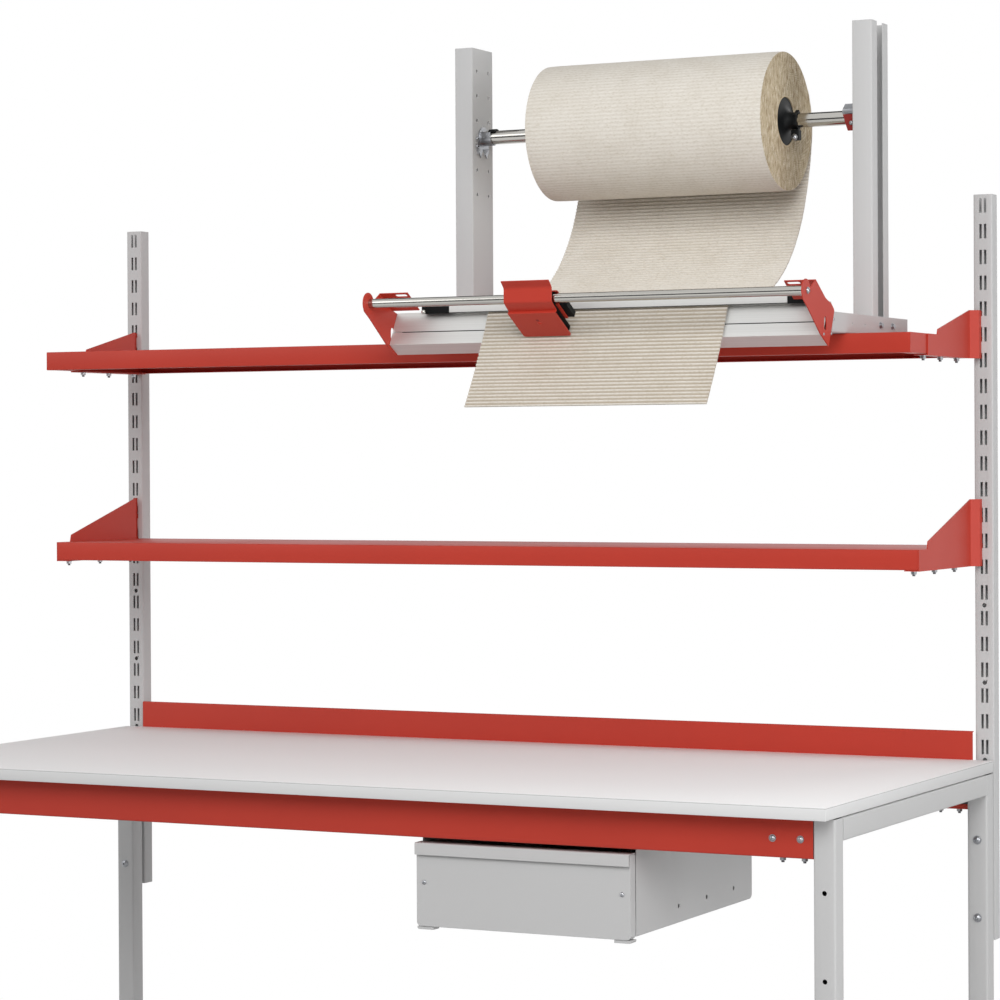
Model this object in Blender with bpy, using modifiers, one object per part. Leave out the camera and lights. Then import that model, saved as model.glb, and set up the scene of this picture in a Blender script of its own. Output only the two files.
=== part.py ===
"""Packing table with a slotted back frame, two shelves, a paper roll holder, a roll cutter and a drawer.

Metres, +Z up. The user stands at -Y. Places are given in table coordinates: X from the middle of the
table, Y back from the front edge of the table top, Z up from the floor. The empty packing_table_origin
moves that front edge forward, so that the world's origin lies under the middle of the whole table.
"""

import math
from typing import NamedTuple

import bmesh
import bpy
from mathutils import Matrix, Vector

# Table
TABLE_WIDTH = 2.000
TABLE_DEPTH = 0.900
TABLE_HEIGHT = 0.850
TOP_THICKNESS = 0.0225
TOP_EDGE_RADIUS = 0.0015

# Fits shared by all pieces
SEAT_GAP = 0.0003
CUT_OVERRUN = 0.003
SEAM_SHARE = 0.1
SHEET_WALL = 0.002

# Legs, rails and feet
LEG_SIZE = 0.040
LEG_WALL = 0.002
LEG_CORNER = 0.004
LEG_SETBACK = 0.045
LEG_TOP_GAP = 0.002
LEG_BOLT_DROP = 0.150
LEG_BOLT_PITCH = 0.150
LEG_BOLT_HOLE = 0.009
RAIL_HEIGHT = 0.040
GLIDE_FOOT = 0.010
GLIDE_STEM = 0.025
GLIDE_DIAMETER = 0.039

# Beams under the top
BEAM_HEIGHT = 0.0705
BEAM_DEPTH = 0.030
BEAM_LIP = 0.010
BEAM_BRACKET_LENGTH = 0.095
BEAM_BRACKET_PLAY = 0.001

# Upstand behind the top
UPSTAND_RISE = 0.0555
UPSTAND_DROP = 0.055
UPSTAND_LIP = 0.007
UPSTAND_END_GAP = 0.002

# Slotted uprights
UPRIGHT_WIDTH = 0.038
UPRIGHT_DEPTH = 0.032
UPRIGHT_CORNER = 0.003
UPRIGHT_RISE = 1.0965
UPRIGHT_LENGTH = 1.445
UPRIGHT_STANDOFF = 0.009
SLOT_PITCH = 0.050
SLOT_LENGTH = 0.028
SLOT_WIDTH = 0.005
SLOT_COLUMN_OFFSET = 0.0046
SLOT_TOP_DROP = 0.0215
UPRIGHT_HOLE = 0.009
UPRIGHT_HOLE_PITCH = 0.150
UPRIGHT_HOLES = 5
STANDOFF_DIAMETER = 0.018

# Shelves
SHELF_HEIGHT = 0.038
SHELF_WALL = 0.0015
SHELF_RETURN = 0.015
SHELF_END_RETURN = 0.025
SHELF_BACK = 0.904
LOWER_SHELF_FRONT = 0.582
LOWER_SHELF_RISE = 0.4165
UPPER_SHELF_FRONT = 0.546
UPPER_SHELF_RISE = 0.8185

# Shelf brackets
BRACKET_FLANGE = 0.027
BRACKET_FOLD_BACK = 0.028
BRACKET_JOGGLE_LENGTH = 0.014
BRACKET_NOSE_SLOPE = 0.004
HOOK_HEIGHT = 0.009
HOOK_DROP = 0.006
HOOK_REACH = 0.006


class BracketSizes(NamedTuple):
    """Side view of a shelf bracket, measured from its front end and from the shelf's top."""

    setback: float
    step: float
    step_rise: float
    peak_rise: float


LOWER_BRACKET = BracketSizes(setback=0.0, step=0.048, step_rise=0.0145, peak_rise=0.0895)
UPPER_BRACKET = BracketSizes(setback=0.092, step=0.053, step_rise=0.010, peak_rise=0.053)

# Posts of the paper roll holder
STATION_X = 0.385
POST_SPREAD = 0.447
POST_WIDTH = 0.040
POST_DEPTH = 0.090
POST_LIP = 0.029
POST_HEIGHT = 0.5985
POST_Y = 0.742
POST_HOLE = 0.007
POST_HOLE_SPACING = 0.050
POST_HOLE_PITCH = 0.050
POST_HOLE_TOP_DROP = 0.0455
POST_HOLE_ROWS = 6
POST_FOOT_WIDTH = 0.044
POST_FOOT_HEIGHT = 0.0377
POST_FOOT_FRONT = 0.476
POST_FOOT_BACK = 0.885
POST_FOOT_HOLE = 0.005
POST_FOOT_HOLES = (0.106, 0.172)

# Paper roll, its axle and plugs
AXLE_DIAMETER = 0.028
AXLE_WALL = 0.002
AXLE_END_GAP = 0.001
AXLE_DROP = 0.1795
SADDLE_REACH = 0.024
SADDLE_HALF_WIDTH = 0.022
SADDLE_DROP = 0.027
SADDLE_EAR_RISE = 0.010
SADDLE_EDGE_SHARES = ((-1.0, -1.0), (-0.6, -1.5), (-0.2, -0.93), (0.2, -0.93), (0.6, -1.5), (1.0, -1.0))
ROLL_X = 0.390
ROLL_WIDTH = 0.500
ROLL_DIAMETER = 0.270
CORE_DIAMETER = 0.084
CORE_WALL = 0.004
PLUG_SPIGOT = 0.030
PLUG_FLANGE_DIAMETER = 0.097
PLUG_FLANGE = 0.003
PLUG_HUB_DIAMETER = 0.045
PLUG_HUB_LENGTH = 0.020
PLUG_BOSS_DIAMETER = 0.014
PLUG_BOSS_RADIUS = 0.034

# Free stretch of paper
PAPER_THICKNESS = 0.003
PAPER_LEAVE_ANGLE = math.radians(-10)
PAPER_LEAVE_GAP = 0.001
PAPER_LEAVE_PULL = 0.220
PAPER_BED_PULL = 0.255
PAPER_FOLD_PULL = 0.012
PAPER_NOSE_GAP = 0.0025
PAPER_NOSE_PULL = 0.045
PAPER_NOSE_SLOPE = math.radians(28)
PAPER_HANG = 0.128
PAPER_HANG_FORWARD = 0.076
PAPER_HANG_PULL = 0.050
PAPER_HANG_SLOPE = math.radians(33)
PAPER_STEPS = 16

# Cutter: bed and end plates
BED_RISE = 0.8745
BED_NOSE = 0.422
BED_DEPTH = 0.050
BED_HEIGHT = 0.0815
BED_WALL = 0.003
BED_GROOVE = 0.002
BED_OUTLINE_SHARES = ((0.66, 0.0), (1.0, 0.0), (0.94, -0.45), (0.66, -1.0), (0.0, -0.768))
BED_GROOVE_SHARES = (0.24, -0.48)
TUBE_DIAMETER = 0.018
TUBE_WALL = 0.0015
TUBE_Y = 0.347
TUBE_RISE = 0.889
END_PLATE_REACH = 0.142
END_PLATE_DROP = 0.098
END_PLATE_LOBE = 0.021
END_PLATE_LOBE_FORWARD = 0.006
END_PLATE_FLANGE = 0.060
END_PLATE_LOBE_SWEEP = (200, 15)
END_PLATE_FLANGE_SHARES = ((0.29, 0.225), (0.63, -0.095))
END_PLATE_BACK_SHARES = (
    (0.72, -0.14),
    (0.83, -0.18),
    (0.93, -0.283),
    (0.945, -0.324),
    (0.9, -0.476),
    (0.74, -1.0),
)
END_PLATE_FRONT_SHARES = ((0.444, -0.776), (0.0, -0.306), (-0.155, -0.163))
END_PLATE_SLOT_SHARES = (0.62, -0.57)
END_PLATE_SLOT_LENGTH = 0.026
END_PLATE_SLOT_WIDTH = 0.012
FLANGE_SLOT_LENGTH = 0.026
FLANGE_SLOT_WIDTH = 0.008

# Pressure bar that holds the paper on the bed
BAR_FRONT = 0.440
BAR_DEPTH = 0.022
BAR_HEIGHT = 0.0075
BAR_LIP = 0.003
BAR_LIP_DROP = 0.0065
BAR_CHAMFER = 0.0015
BAR_LEFT = 0.327
BAR_RIGHT = 0.375
BAR_END_LENGTH = 0.060
BAR_END_DEPTH = 0.027
BAR_END_LIP = 0.003
BAR_END_LIP_DROP = 0.0035
BAR_END_STEP = 0.005
BAR_END_CHAMFER = 0.001
KNOB_DIAMETER = 0.009
KNOB_STEM = 0.0075
KNOB_STEM_DIAMETER = 0.003
KNOB_INSET = 0.010

# Cutting head that slides on the guide tube
HEAD_X = -0.104
HEAD_WIDTH = 0.100
BUSH_WALL = 0.003
COVER_LIP_FORWARD = 0.0125
COVER_LIP_RISE = 0.032
COVER_BEND_RISE = 0.020
COVER_TUCK_DROP = 0.0068
COVER_CREASE_BACK = 0.0205
COVER_CREASE_DROP = 0.0245
COVER_BLADE_BACK = 0.067
COVER_BLADE_DROP = 0.040
COVER_BEND_RADIUS = 0.006
BLOCK_DEPTH = 0.0097
BLOCK_LENGTH = 0.069
BLOCK_NECK = 0.0045
HEAD_SIDE_INSET = 0.002
PLATE_LENGTH = 0.047
PLATE_SHIFT = 0.006
PLATE_CURL_SWEEP = 110
HOLDER_DEPTH = 0.0114
HOLDER_LENGTH = 0.039
HOLDER_START = 0.003
HOLDER_SHIFT = 0.013
HOLDER_WIDTH = 0.108
BLADE_THICKNESS = 0.001
BLADE_LENGTH = 0.015

# Drawer under the top
DRAWER_X = 0.399
DRAWER_WIDTH = 0.426
CASING_FRONT = 0.085
CASING_BACK = 0.616
CASING_DROP = 0.2505
CASING_WALL = 0.0015
CASING_CORNER = 0.008
CASING_LIP = 0.008
CASING_LIP_HEIGHT = 0.032
CASING_HOLE = 0.008
CASING_HOLE_PITCH = 0.128
CASING_HOLE_START = 0.185
CASING_HOLE_RISE = 0.0287
CASING_HOLES = 3
FRONT_Y = 0.060
FRONT_THICKNESS = 0.022
FRONT_DROP = 0.256
FRONT_TOP_DROP = 0.1063
FRONT_EDGE_RADIUS = 0.0015
FRONT_HOLE = 0.005
FRONT_HOLE_INSET = 0.016
FRONT_HOLE_RISE = 0.080
HANDLE_REACH = 0.007
HANDLE_HEIGHT = 0.022
HANDLE_FLANGE = 0.020
BOX_WALL = 0.0015
BOX_BACK = 0.560
BOX_HEIGHT = 0.120
BOX_FLOOR_RISE = 0.002
RUNNER_DEPTH = 0.0127
RUNNER_HEIGHT = 0.035
RUNNER_WALL = 0.0012
RUNNER_OUTER_DEPTH = 0.010
RUNNER_INNER_DEPTH = 0.0095
RUNNER_LENGTH = 0.465
RUNNER_SETBACK = 0.007
RUNNER_RISE = 0.077

# Rounding
ROUND_STEPS = 4
FOLD_STEPS = 3
FILLET_REACH_SHARE = 0.45
FOLD_RADIUS_SHARE = 1.25
FINE_SIDES = 72
ROUND_SIDES = 32
SMALL_SIDES = 16
HOLE_SIDES = 12
WELD_DISTANCE = 0.000001
SMOOTH_ANGLE = math.radians(32)
QUARTER_TURN = math.pi / 2
HALF_TURN = math.pi
FULL_TURN = 2 * math.pi

# Places that follow from the sizes above
TOP_UNDERSIDE = TABLE_HEIGHT - TOP_THICKNESS
LEG_TOP = TOP_UNDERSIDE - LEG_TOP_GAP
LEG_X = TABLE_WIDTH / 2 - LEG_SIZE / 2
LEG_INNER_X = TABLE_WIDTH / 2 - LEG_SIZE
BACK_LEG_Y = TABLE_DEPTH - LEG_SIZE / 2
FRONT_LEG_Y = LEG_SETBACK + LEG_SIZE / 2
LEG_BOLTS = (TABLE_HEIGHT - LEG_BOLT_DROP, TABLE_HEIGHT - LEG_BOLT_DROP - LEG_BOLT_PITCH)
BEAM_TOP = TOP_UNDERSIDE - SEAT_GAP
UPRIGHT_FRONT = TABLE_DEPTH + UPRIGHT_STANDOFF
UPRIGHT_TOP = TABLE_HEIGHT + UPRIGHT_RISE
OVERALL_DEPTH = UPRIGHT_FRONT + UPRIGHT_DEPTH
LOWER_SHELF_TOP = TABLE_HEIGHT + LOWER_SHELF_RISE
UPPER_SHELF_TOP = TABLE_HEIGHT + UPPER_SHELF_RISE
BRACKET_X = LEG_INNER_X + SEAT_GAP + SHEET_WALL / 2
POST_FOOT_TOP = UPPER_SHELF_TOP + SEAT_GAP + SHEET_WALL
POST_BOTTOM = POST_FOOT_TOP + SEAT_GAP
POST_TOP = POST_BOTTOM + POST_HEIGHT
POST_INNER = POST_SPREAD - POST_WIDTH
AXLE_Z = POST_TOP - AXLE_DROP
AXLE_RADIUS = AXLE_DIAMETER / 2
CUTTER_HALF = POST_SPREAD + SEAT_GAP + SHEET_WALL + SEAT_GAP
BED_TOP = TABLE_HEIGHT + BED_RISE
TUBE_Z = TABLE_HEIGHT + TUBE_RISE
TUBE_RADIUS = TUBE_DIAMETER / 2
BAR_BOTTOM = BED_TOP + SEAT_GAP + PAPER_THICKNESS + SEAT_GAP
BUSH_RADIUS = TUBE_RADIUS + SEAT_GAP + BUSH_WALL
COVER_FRONT = BUSH_RADIUS + SEAT_GAP + SHEET_WALL
CASING_INNER = DRAWER_WIDTH / 2 - CASING_WALL
BOX_HALF = CASING_INNER - RUNNER_DEPTH
RUNNER_Z = TABLE_HEIGHT - CASING_DROP + RUNNER_RISE
DRAWER_MID_Z = TABLE_HEIGHT - FRONT_DROP

PARTS = "packing_table"
CUTTERS = "cutters"
ROOT = "packing_table_origin"
DRAWER = "drawer_axis"
HEAD = "cutting_head_axis"
ROLL = "roll_axis"
BAR = "pressure_bar_axis"

ORIGINS = {
    ROOT: Vector((0, 0, 0)),
    DRAWER: Vector((DRAWER_X, FRONT_Y, DRAWER_MID_Z)),
    HEAD: Vector((STATION_X + HEAD_X, TUBE_Y, TUBE_Z)),
    ROLL: Vector((ROLL_X, POST_Y, AXLE_Z)),
    BAR: Vector((STATION_X, BAR_FRONT, BED_TOP)),
}

# Colour, roughness and metallic value of each finish
LOOKS = {
    "laminate": ((0.80, 0.81, 0.82), 0.45, 0.0),
    "grey_paint": ((0.60, 0.61, 0.62), 0.50, 0.0),
    "red_paint": ((0.52, 0.04, 0.03), 0.45, 0.0),
    "steel": ((0.62, 0.61, 0.59), 0.22, 1.0),
    "aluminium": ((0.70, 0.71, 0.72), 0.35, 1.0),
    "zinc": ((0.45, 0.45, 0.46), 0.40, 1.0),
    "black_plastic": ((0.02, 0.02, 0.02), 0.45, 0.0),
    "paper": ((0.55, 0.46, 0.36), 0.90, 0.0),
    "core_board": ((0.36, 0.28, 0.20), 0.95, 0.0),
}

# The way an outline drawn as (right, up) and its thickness turn to lie across each axis
AXIS_TURN = {
    "X": (QUARTER_TURN, 0, QUARTER_TURN),
    "Y": (QUARTER_TURN, 0, 0),
    "Z": (0, 0, 0),
}


def clear_scene():
    """Removes what the scene holds and makes the two collections and the empties."""
    for obj in list(bpy.data.objects):
        bpy.data.objects.remove(obj)
    for name in (PARTS, CUTTERS):
        collection = bpy.data.collections.new(name)
        bpy.context.scene.collection.children.link(collection)
    bpy.data.collections[CUTTERS].hide_render = True
    for name, origin in ORIGINS.items():
        empty = bpy.data.objects.new(name, None)
        bpy.data.collections[PARTS].objects.link(empty)
        if name == ROOT:
            empty.location = (0, -OVERALL_DEPTH / 2, 0)
        else:
            empty.parent = bpy.data.objects[ROOT]
            empty.location = origin
    bpy.context.view_layer.update()


def make_looks():
    """Makes a Principled material for each finish."""
    for name, (colour, roughness, metallic) in LOOKS.items():
        material = bpy.data.materials.new(name)
        material.use_nodes = True
        shader = material.node_tree.nodes["Principled BSDF"]
        shader.inputs["Base Color"].default_value = (*colour, 1)
        shader.inputs["Roughness"].default_value = roughness
        shader.inputs["Metallic"].default_value = metallic


# Outlines


def arc(centre, radius, start, end, steps):
    """Points on a circle from one angle to another, in radians."""
    turns = [start + (end - start) * step / steps for step in range(steps + 1)]
    return [(centre[0] + radius * math.cos(t), centre[1] + radius * math.sin(t)) for t in turns]


def circle(radius, sides):
    """Closed outline of a circle about the origin."""
    return arc((0, 0), radius, 0, FULL_TURN * (sides - 1) / sides, sides - 1)


def round_corner(before, corner, after, radius, steps):
    """Points of the arc that replaces one corner of a path."""
    towards = (before - corner).normalized()
    onward = (after - corner).normalized()
    half = towards.angle(onward) / 2
    if half > QUARTER_TURN - SMOOTH_ANGLE / ROUND_SIDES:
        return [corner]
    longest = FILLET_REACH_SHARE * min((before - corner).length, (after - corner).length)
    reach = min(radius / math.tan(half), longest)
    radius = reach * math.tan(half)
    centre = corner + (towards + onward).normalized() * (radius / math.sin(half))
    first = corner + towards * reach - centre
    last = corner + onward * reach - centre
    turn = math.atan2(first.x * last.y - first.y * last.x, first.dot(last))
    begin = math.atan2(first.y, first.x)
    return [Vector(point) for point in arc(centre, radius, begin, begin + turn, steps)]


def filleted(points, radius, closed, steps=FOLD_STEPS):
    """The path with its corners rounded. The ends of an open path stay."""
    points = [Vector(point) for point in points]
    count = len(points)
    result = []
    for index, corner in enumerate(points):
        if not closed and index in (0, count - 1):
            result.append(corner)
            continue
        before = points[index - 1]
        after = points[(index + 1) % count]
        result += round_corner(before, corner, after, radius, steps)
    return [tuple(point) for point in result]


def offset(points, distance, closed=False):
    """The path moved to its left, with mitred corners."""
    points = [Vector(point) for point in points]
    count = len(points)
    normals = []
    for index in range(count if closed else count - 1):
        run = (points[(index + 1) % count] - points[index]).normalized()
        normals.append(Vector((-run.y, run.x)))
    moved = []
    for index, point in enumerate(points):
        if closed:
            sides = normals[index - 1], normals[index]
        else:
            sides = normals[max(index - 1, 0)], normals[min(index, count - 2)]
        moved.append(tuple(point + (sides[0] + sides[1]) * distance / (1 + sides[0].dot(sides[1]))))
    return moved


def folded(path, wall=SHEET_WALL):
    """Section of a folded sheet along its outer face. The wall is on the path's left, right if negative."""
    return filleted(path, FOLD_RADIUS_SHARE * abs(wall), closed=False) + offset(path, wall)[::-1]


def rounded_rectangle(width, height, radius):
    """Closed outline about the origin."""
    right, top = width / 2, height / 2
    corners = [(-right, -top), (right, -top), (right, top), (-right, top)]
    return filleted(corners, radius, closed=True, steps=ROUND_STEPS)


def mirrored(outline, side=-1, up=1):
    """The outline turned over to the other side."""
    return [(u * side, v * up) for u, v in outline]


def scaled(shares, width, height):
    """Points given as shares of a width and a height."""
    return [(u * width, v * height) for u, v in shares]


# Objects


def place(obj, at, turn, look, group, collection=PARTS):
    """Puts an object at a place in table coordinates, under its group's empty."""
    bpy.data.collections[collection].objects.link(obj)
    obj.parent = bpy.data.objects[group]
    obj.location = Vector(at) - ORIGINS[group]
    obj.rotation_euler = turn
    if look and not obj.data.materials:
        obj.data.materials.append(bpy.data.materials[look])
    if collection == CUTTERS:
        obj.hide_render = True
        obj.display_type = "WIRE"
    return obj


def welded(mesh):
    """Joins the caps of a curve's mesh to its sides and turns its faces out."""
    work = bmesh.new()
    work.from_mesh(mesh)
    bmesh.ops.remove_doubles(work, verts=work.verts, dist=WELD_DISTANCE)
    bmesh.ops.recalc_face_normals(work, faces=work.faces)
    work.to_mesh(mesh)
    work.free()


def meshed(drawn, name, look, group, collection=PARTS):
    """Replaces a placed curve by a welded mesh at the same place."""
    bpy.context.view_layer.update()
    graph = bpy.context.evaluated_depsgraph_get()
    mesh = bpy.data.meshes.new_from_object(drawn.evaluated_get(graph))
    welded(mesh)
    where = drawn.matrix_world.copy()
    bpy.data.objects.remove(drawn)
    obj = bpy.data.objects.new(name, mesh)
    place(obj, ORIGINS[group], (0, 0, 0), look, group, collection)
    obj.matrix_world = where
    return obj


def extruded(name, outlines, axis, length, at, look, group=ROOT, collection=PARTS):
    """A flat outline, with holes if there are more outlines, made thick along an axis about its place."""
    curve = bpy.data.curves.new(name, "CURVE")
    curve.dimensions = "2D"
    curve.fill_mode = "BOTH"
    curve.extrude = length / 2
    for outline in outlines:
        spline = curve.splines.new("POLY")
        spline.points.add(len(outline) - 1)
        spline.use_cyclic_u = True
        for point, (u, v) in zip(spline.points, outline):
            point.co = (u, v, 0, 1)
    drawn = place(bpy.data.objects.new(name, curve), at, AXIS_TURN[axis], look, group, collection)
    return meshed(drawn, name, look, group, collection)


def box(name, low, high, look, group=ROOT, collection=PARTS):
    """A box between two corners in table coordinates."""
    size = Vector(high) - Vector(low)
    middle = (Vector(high) + Vector(low)) / 2
    work = bmesh.new()
    bmesh.ops.create_cube(work, size=1)
    bmesh.ops.scale(work, vec=size, verts=work.verts)
    mesh = bpy.data.meshes.new(name)
    work.to_mesh(mesh)
    work.free()
    return place(bpy.data.objects.new(name, mesh), middle, (0, 0, 0), look, group, collection)


def tube(name, radius, wall, axis, length, at, look, group=ROOT, sides=ROUND_SIDES):
    """A round tube with open ends."""
    rings = [circle(radius, sides), circle(radius - wall, sides)]
    return smooth(extruded(name, rings, axis, length, at, look, group))


def square_tube(name, width, height, wall, corner, axis, length, at, look):
    """A rectangular tube with rounded edges and open ends."""
    outer = rounded_rectangle(width, height, corner)
    inner = rounded_rectangle(width - 2 * wall, height - 2 * wall, corner - wall)
    return extruded(name, [outer, inner], axis, length, at, look)


def turned(name, profile, closed, at, turn, look, group=ROOT, sides=ROUND_SIDES):
    """A turned piece: the profile of (radius, height) runs down its outer side."""
    work = bmesh.new()
    points = [work.verts.new((radius, 0, height)) for radius, height in profile]
    for first, second in zip(points, points[1:]):
        work.edges.new((first, second))
    if closed:
        work.edges.new((points[-1], points[0]))
    mesh = bpy.data.meshes.new(name)
    work.to_mesh(mesh)
    work.free()
    obj = place(bpy.data.objects.new(name, mesh), at, turn, look, group)
    screw = obj.modifiers.new("Turn", "SCREW")
    screw.steps = sides
    screw.render_steps = sides
    screw.use_merge_vertices = True
    screw.merge_threshold = WELD_DISTANCE
    screw.use_smooth_shade = True
    return obj


def smooth(obj):
    """Shades round faces smooth and keeps sharp edges."""
    obj.data.shade_smooth()
    obj.data.set_sharp_from_angle(angle=SMOOTH_ANGLE)
    return obj


def bevelled(obj, width, segments=2):
    """Rounds all sharp edges."""
    bevel = obj.modifiers.new("Rounded edges", "BEVEL")
    bevel.width = width
    bevel.segments = segments
    bevel.limit_method = "ANGLE"
    return obj


def combine(obj, other, operation):
    """Cuts another solid from an object, or joins it on."""
    modifier = obj.modifiers.new(other.name, "BOOLEAN")
    modifier.operation = operation
    modifier.object = other
    return obj


def hole_cutter(name, places, diameter, axis, length):
    """One cutter for a row of round holes along X or Y."""
    work = bmesh.new()
    for centre in places:
        made = bmesh.ops.create_cone(
            work, cap_ends=True, segments=HOLE_SIDES, radius1=diameter / 2, radius2=diameter / 2, depth=length
        )
        across = "Y" if axis == "X" else "X"
        bmesh.ops.rotate(work, verts=made["verts"], matrix=Matrix.Rotation(QUARTER_TURN, 3, across))
        bmesh.ops.translate(work, verts=made["verts"], vec=Vector(centre))
    mesh = bpy.data.meshes.new(name)
    work.to_mesh(mesh)
    work.free()
    obj = bpy.data.objects.new(name, mesh)
    return place(obj, (0, 0, 0), (0, 0, 0), None, ROOT, CUTTERS)


def drilled(obj, places, diameter, axis, length):
    """Drills round holes, given in table coordinates, through an object."""
    cutter = hole_cutter(f"{obj.name}_drill_{len(obj.modifiers)}", places, diameter, axis, length)
    return combine(obj, cutter, "DIFFERENCE")


SIDES = (("left", -1), ("right", 1))


# Table and frame


def build_top():
    """The laminate board."""
    half = TABLE_WIDTH / 2
    top = box("table_top", (-half, 0, TOP_UNDERSIDE), (half, TABLE_DEPTH, TABLE_HEIGHT), "laminate")
    bevelled(top, TOP_EDGE_RADIUS)


def build_legs():
    """Square legs with a foot in each, and a rail between each pair."""
    bottom = GLIDE_FOOT + SEAT_GAP
    length = LEG_TOP - bottom
    for side_name, side in SIDES:
        for end_name, y in (("front", FRONT_LEG_Y), ("back", BACK_LEG_Y)):
            name = f"{end_name}_{side_name}"
            at = (side * LEG_X, y, (LEG_TOP + bottom) / 2)
            leg = square_tube(
                f"leg_{name}", LEG_SIZE, LEG_SIZE, LEG_WALL, LEG_CORNER, "Z", length, at, "grey_paint"
            )
            if end_name == "front":
                places = [(side * LEG_X, LEG_SETBACK, z) for z in LEG_BOLTS]
                drilled(leg, places, LEG_BOLT_HOLE, "Y", 2 * LEG_WALL + CUT_OVERRUN)
            else:
                places = [(side * LEG_X, y, z) for z in LEG_BOLTS]
                drilled(leg, places, LEG_BOLT_HOLE, "Y", LEG_SIZE + CUT_OVERRUN)
            stem = LEG_SIZE / 2 - LEG_WALL - SEAT_GAP
            foot = GLIDE_DIAMETER / 2
            rise = GLIDE_FOOT + GLIDE_STEM
            profile = [(0, rise), (stem, rise), (stem, GLIDE_FOOT), (foot, GLIDE_FOOT), (foot, 0), (0, 0)]
            at = (side * LEG_X, y, 0)
            turned(f"glide_{name}", profile, False, at, (0, 0, 0), "black_plastic", sides=SMALL_SIDES)
        start = FRONT_LEG_Y + LEG_SIZE / 2 + SEAT_GAP
        end = BACK_LEG_Y - LEG_SIZE / 2 - SEAT_GAP
        at = (side * LEG_X, (start + end) / 2, LEG_TOP - RAIL_HEIGHT / 2)
        name = f"side_rail_{side_name}"
        square_tube(name, LEG_SIZE, RAIL_HEIGHT, LEG_WALL, LEG_CORNER, "Y", end - start, at, "grey_paint")


def build_beams():
    """The two C beams, and the angles that bolt them to the legs."""
    section = folded(
        [
            (BEAM_DEPTH, -BEAM_LIP),
            (BEAM_DEPTH, 0),
            (0, 0),
            (0, -BEAM_HEIGHT),
            (BEAM_DEPTH, -BEAM_HEIGHT),
            (BEAM_DEPTH, BEAM_LIP - BEAM_HEIGHT),
        ]
    )
    length = 2 * (LEG_INNER_X - SEAT_GAP)
    plate_depth = BEAM_DEPTH - 2 * SHEET_WALL - 2 * SEAT_GAP
    angle = folded([(-BEAM_BRACKET_LENGTH, 0), (0, 0), (0, plate_depth)])
    angle_height = BEAM_HEIGHT - 2 * SHEET_WALL - 2 * BEAM_BRACKET_PLAY
    for name, y, inward in (("front", LEG_SETBACK, 1), ("back", TABLE_DEPTH, -1)):
        extruded(f"beam_{name}", [mirrored(section, inward)], "X", length, (0, y, BEAM_TOP), "red_paint")
        for side_name, side in SIDES:
            at = (
                side * (LEG_INNER_X - SEAT_GAP),
                y + inward * (SHEET_WALL + SEAT_GAP),
                BEAM_TOP - BEAM_HEIGHT / 2,
            )
            outline = mirrored(angle, side, inward)
            extruded(
                f"beam_bracket_{name}_{side_name}", [outline], "Z", angle_height, at, "zinc"
            )


def build_upstand():
    """The red strip behind the top, with a small lip folded back along its upper edge."""
    path = [(UPSTAND_LIP, UPSTAND_RISE), (0, UPSTAND_RISE), (0, -UPSTAND_DROP)]
    length = 2 * (LEG_INNER_X - UPSTAND_END_GAP)
    at = (0, TABLE_DEPTH + SEAT_GAP, TABLE_HEIGHT)
    extruded("back_upstand", [folded(path)], "X", length, at, "red_paint")


def slot_centres():
    """Heights of all slots of an upright, from the top down."""
    count = int((UPRIGHT_LENGTH - 2 * SLOT_TOP_DROP) / SLOT_PITCH) + 1
    return [UPRIGHT_TOP - SLOT_TOP_DROP - row * SLOT_PITCH for row in range(count)]


def build_uprights():
    """The slotted columns, with a welded standoff at each bolt to the back legs."""
    y = UPRIGHT_FRONT + UPRIGHT_DEPTH / 2
    z = UPRIGHT_TOP - UPRIGHT_LENGTH / 2
    holes = [LEG_BOLTS[-1] + row * UPRIGHT_HOLE_PITCH for row in range(UPRIGHT_HOLES)]
    standoff_length = UPRIGHT_STANDOFF - SEAT_GAP + SHEET_WALL / 2
    standoff_y = TABLE_DEPTH + SEAT_GAP + standoff_length / 2
    for side_name, side in SIDES:
        x = side * LEG_X
        name = f"upright_{side_name}"
        upright = square_tube(
            name,
            UPRIGHT_WIDTH,
            UPRIGHT_DEPTH,
            SHEET_WALL,
            UPRIGHT_CORNER,
            "Z",
            UPRIGHT_LENGTH,
            (x, y, z),
            "grey_paint",
        )
        for bolt_index, bolt in enumerate(LEG_BOLTS):
            standoff = extruded(
                f"{name}_standoff_{bolt_index}",
                [circle(STANDOFF_DIAMETER / 2, SMALL_SIDES)],
                "Y",
                standoff_length,
                (x, standoff_y, bolt),
                None,
                collection=CUTTERS,
            )
            combine(upright, standoff, "UNION")
        cut_slots(upright, x)
        places = [(x, UPRIGHT_FRONT, height) for height in holes]
        drilled(upright, places, UPRIGHT_HOLE, "Y", 2 * (UPRIGHT_STANDOFF + CUT_OVERRUN))


def cut_slots(upright, x):
    """Cuts the two columns of slots through an upright's front wall."""
    work = bmesh.new()
    depth = SHEET_WALL + 2 * CUT_OVERRUN
    for column in (-1, 1):
        for height in slot_centres():
            made = bmesh.ops.create_cube(work, size=1)
            bmesh.ops.scale(work, vec=(SLOT_WIDTH, depth, SLOT_LENGTH), verts=made["verts"])
            place_at = (x + column * SLOT_COLUMN_OFFSET, UPRIGHT_FRONT + SHEET_WALL / 2, height)
            bmesh.ops.translate(work, verts=made["verts"], vec=place_at)
    mesh = bpy.data.meshes.new(f"{upright.name}_slots")
    work.to_mesh(mesh)
    work.free()
    cutter = bpy.data.objects.new(mesh.name, mesh)
    place(cutter, (0, 0, 0), (0, 0, 0), None, ROOT, CUTTERS)
    combine(upright, cutter, "DIFFERENCE")


# Shelves


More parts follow.
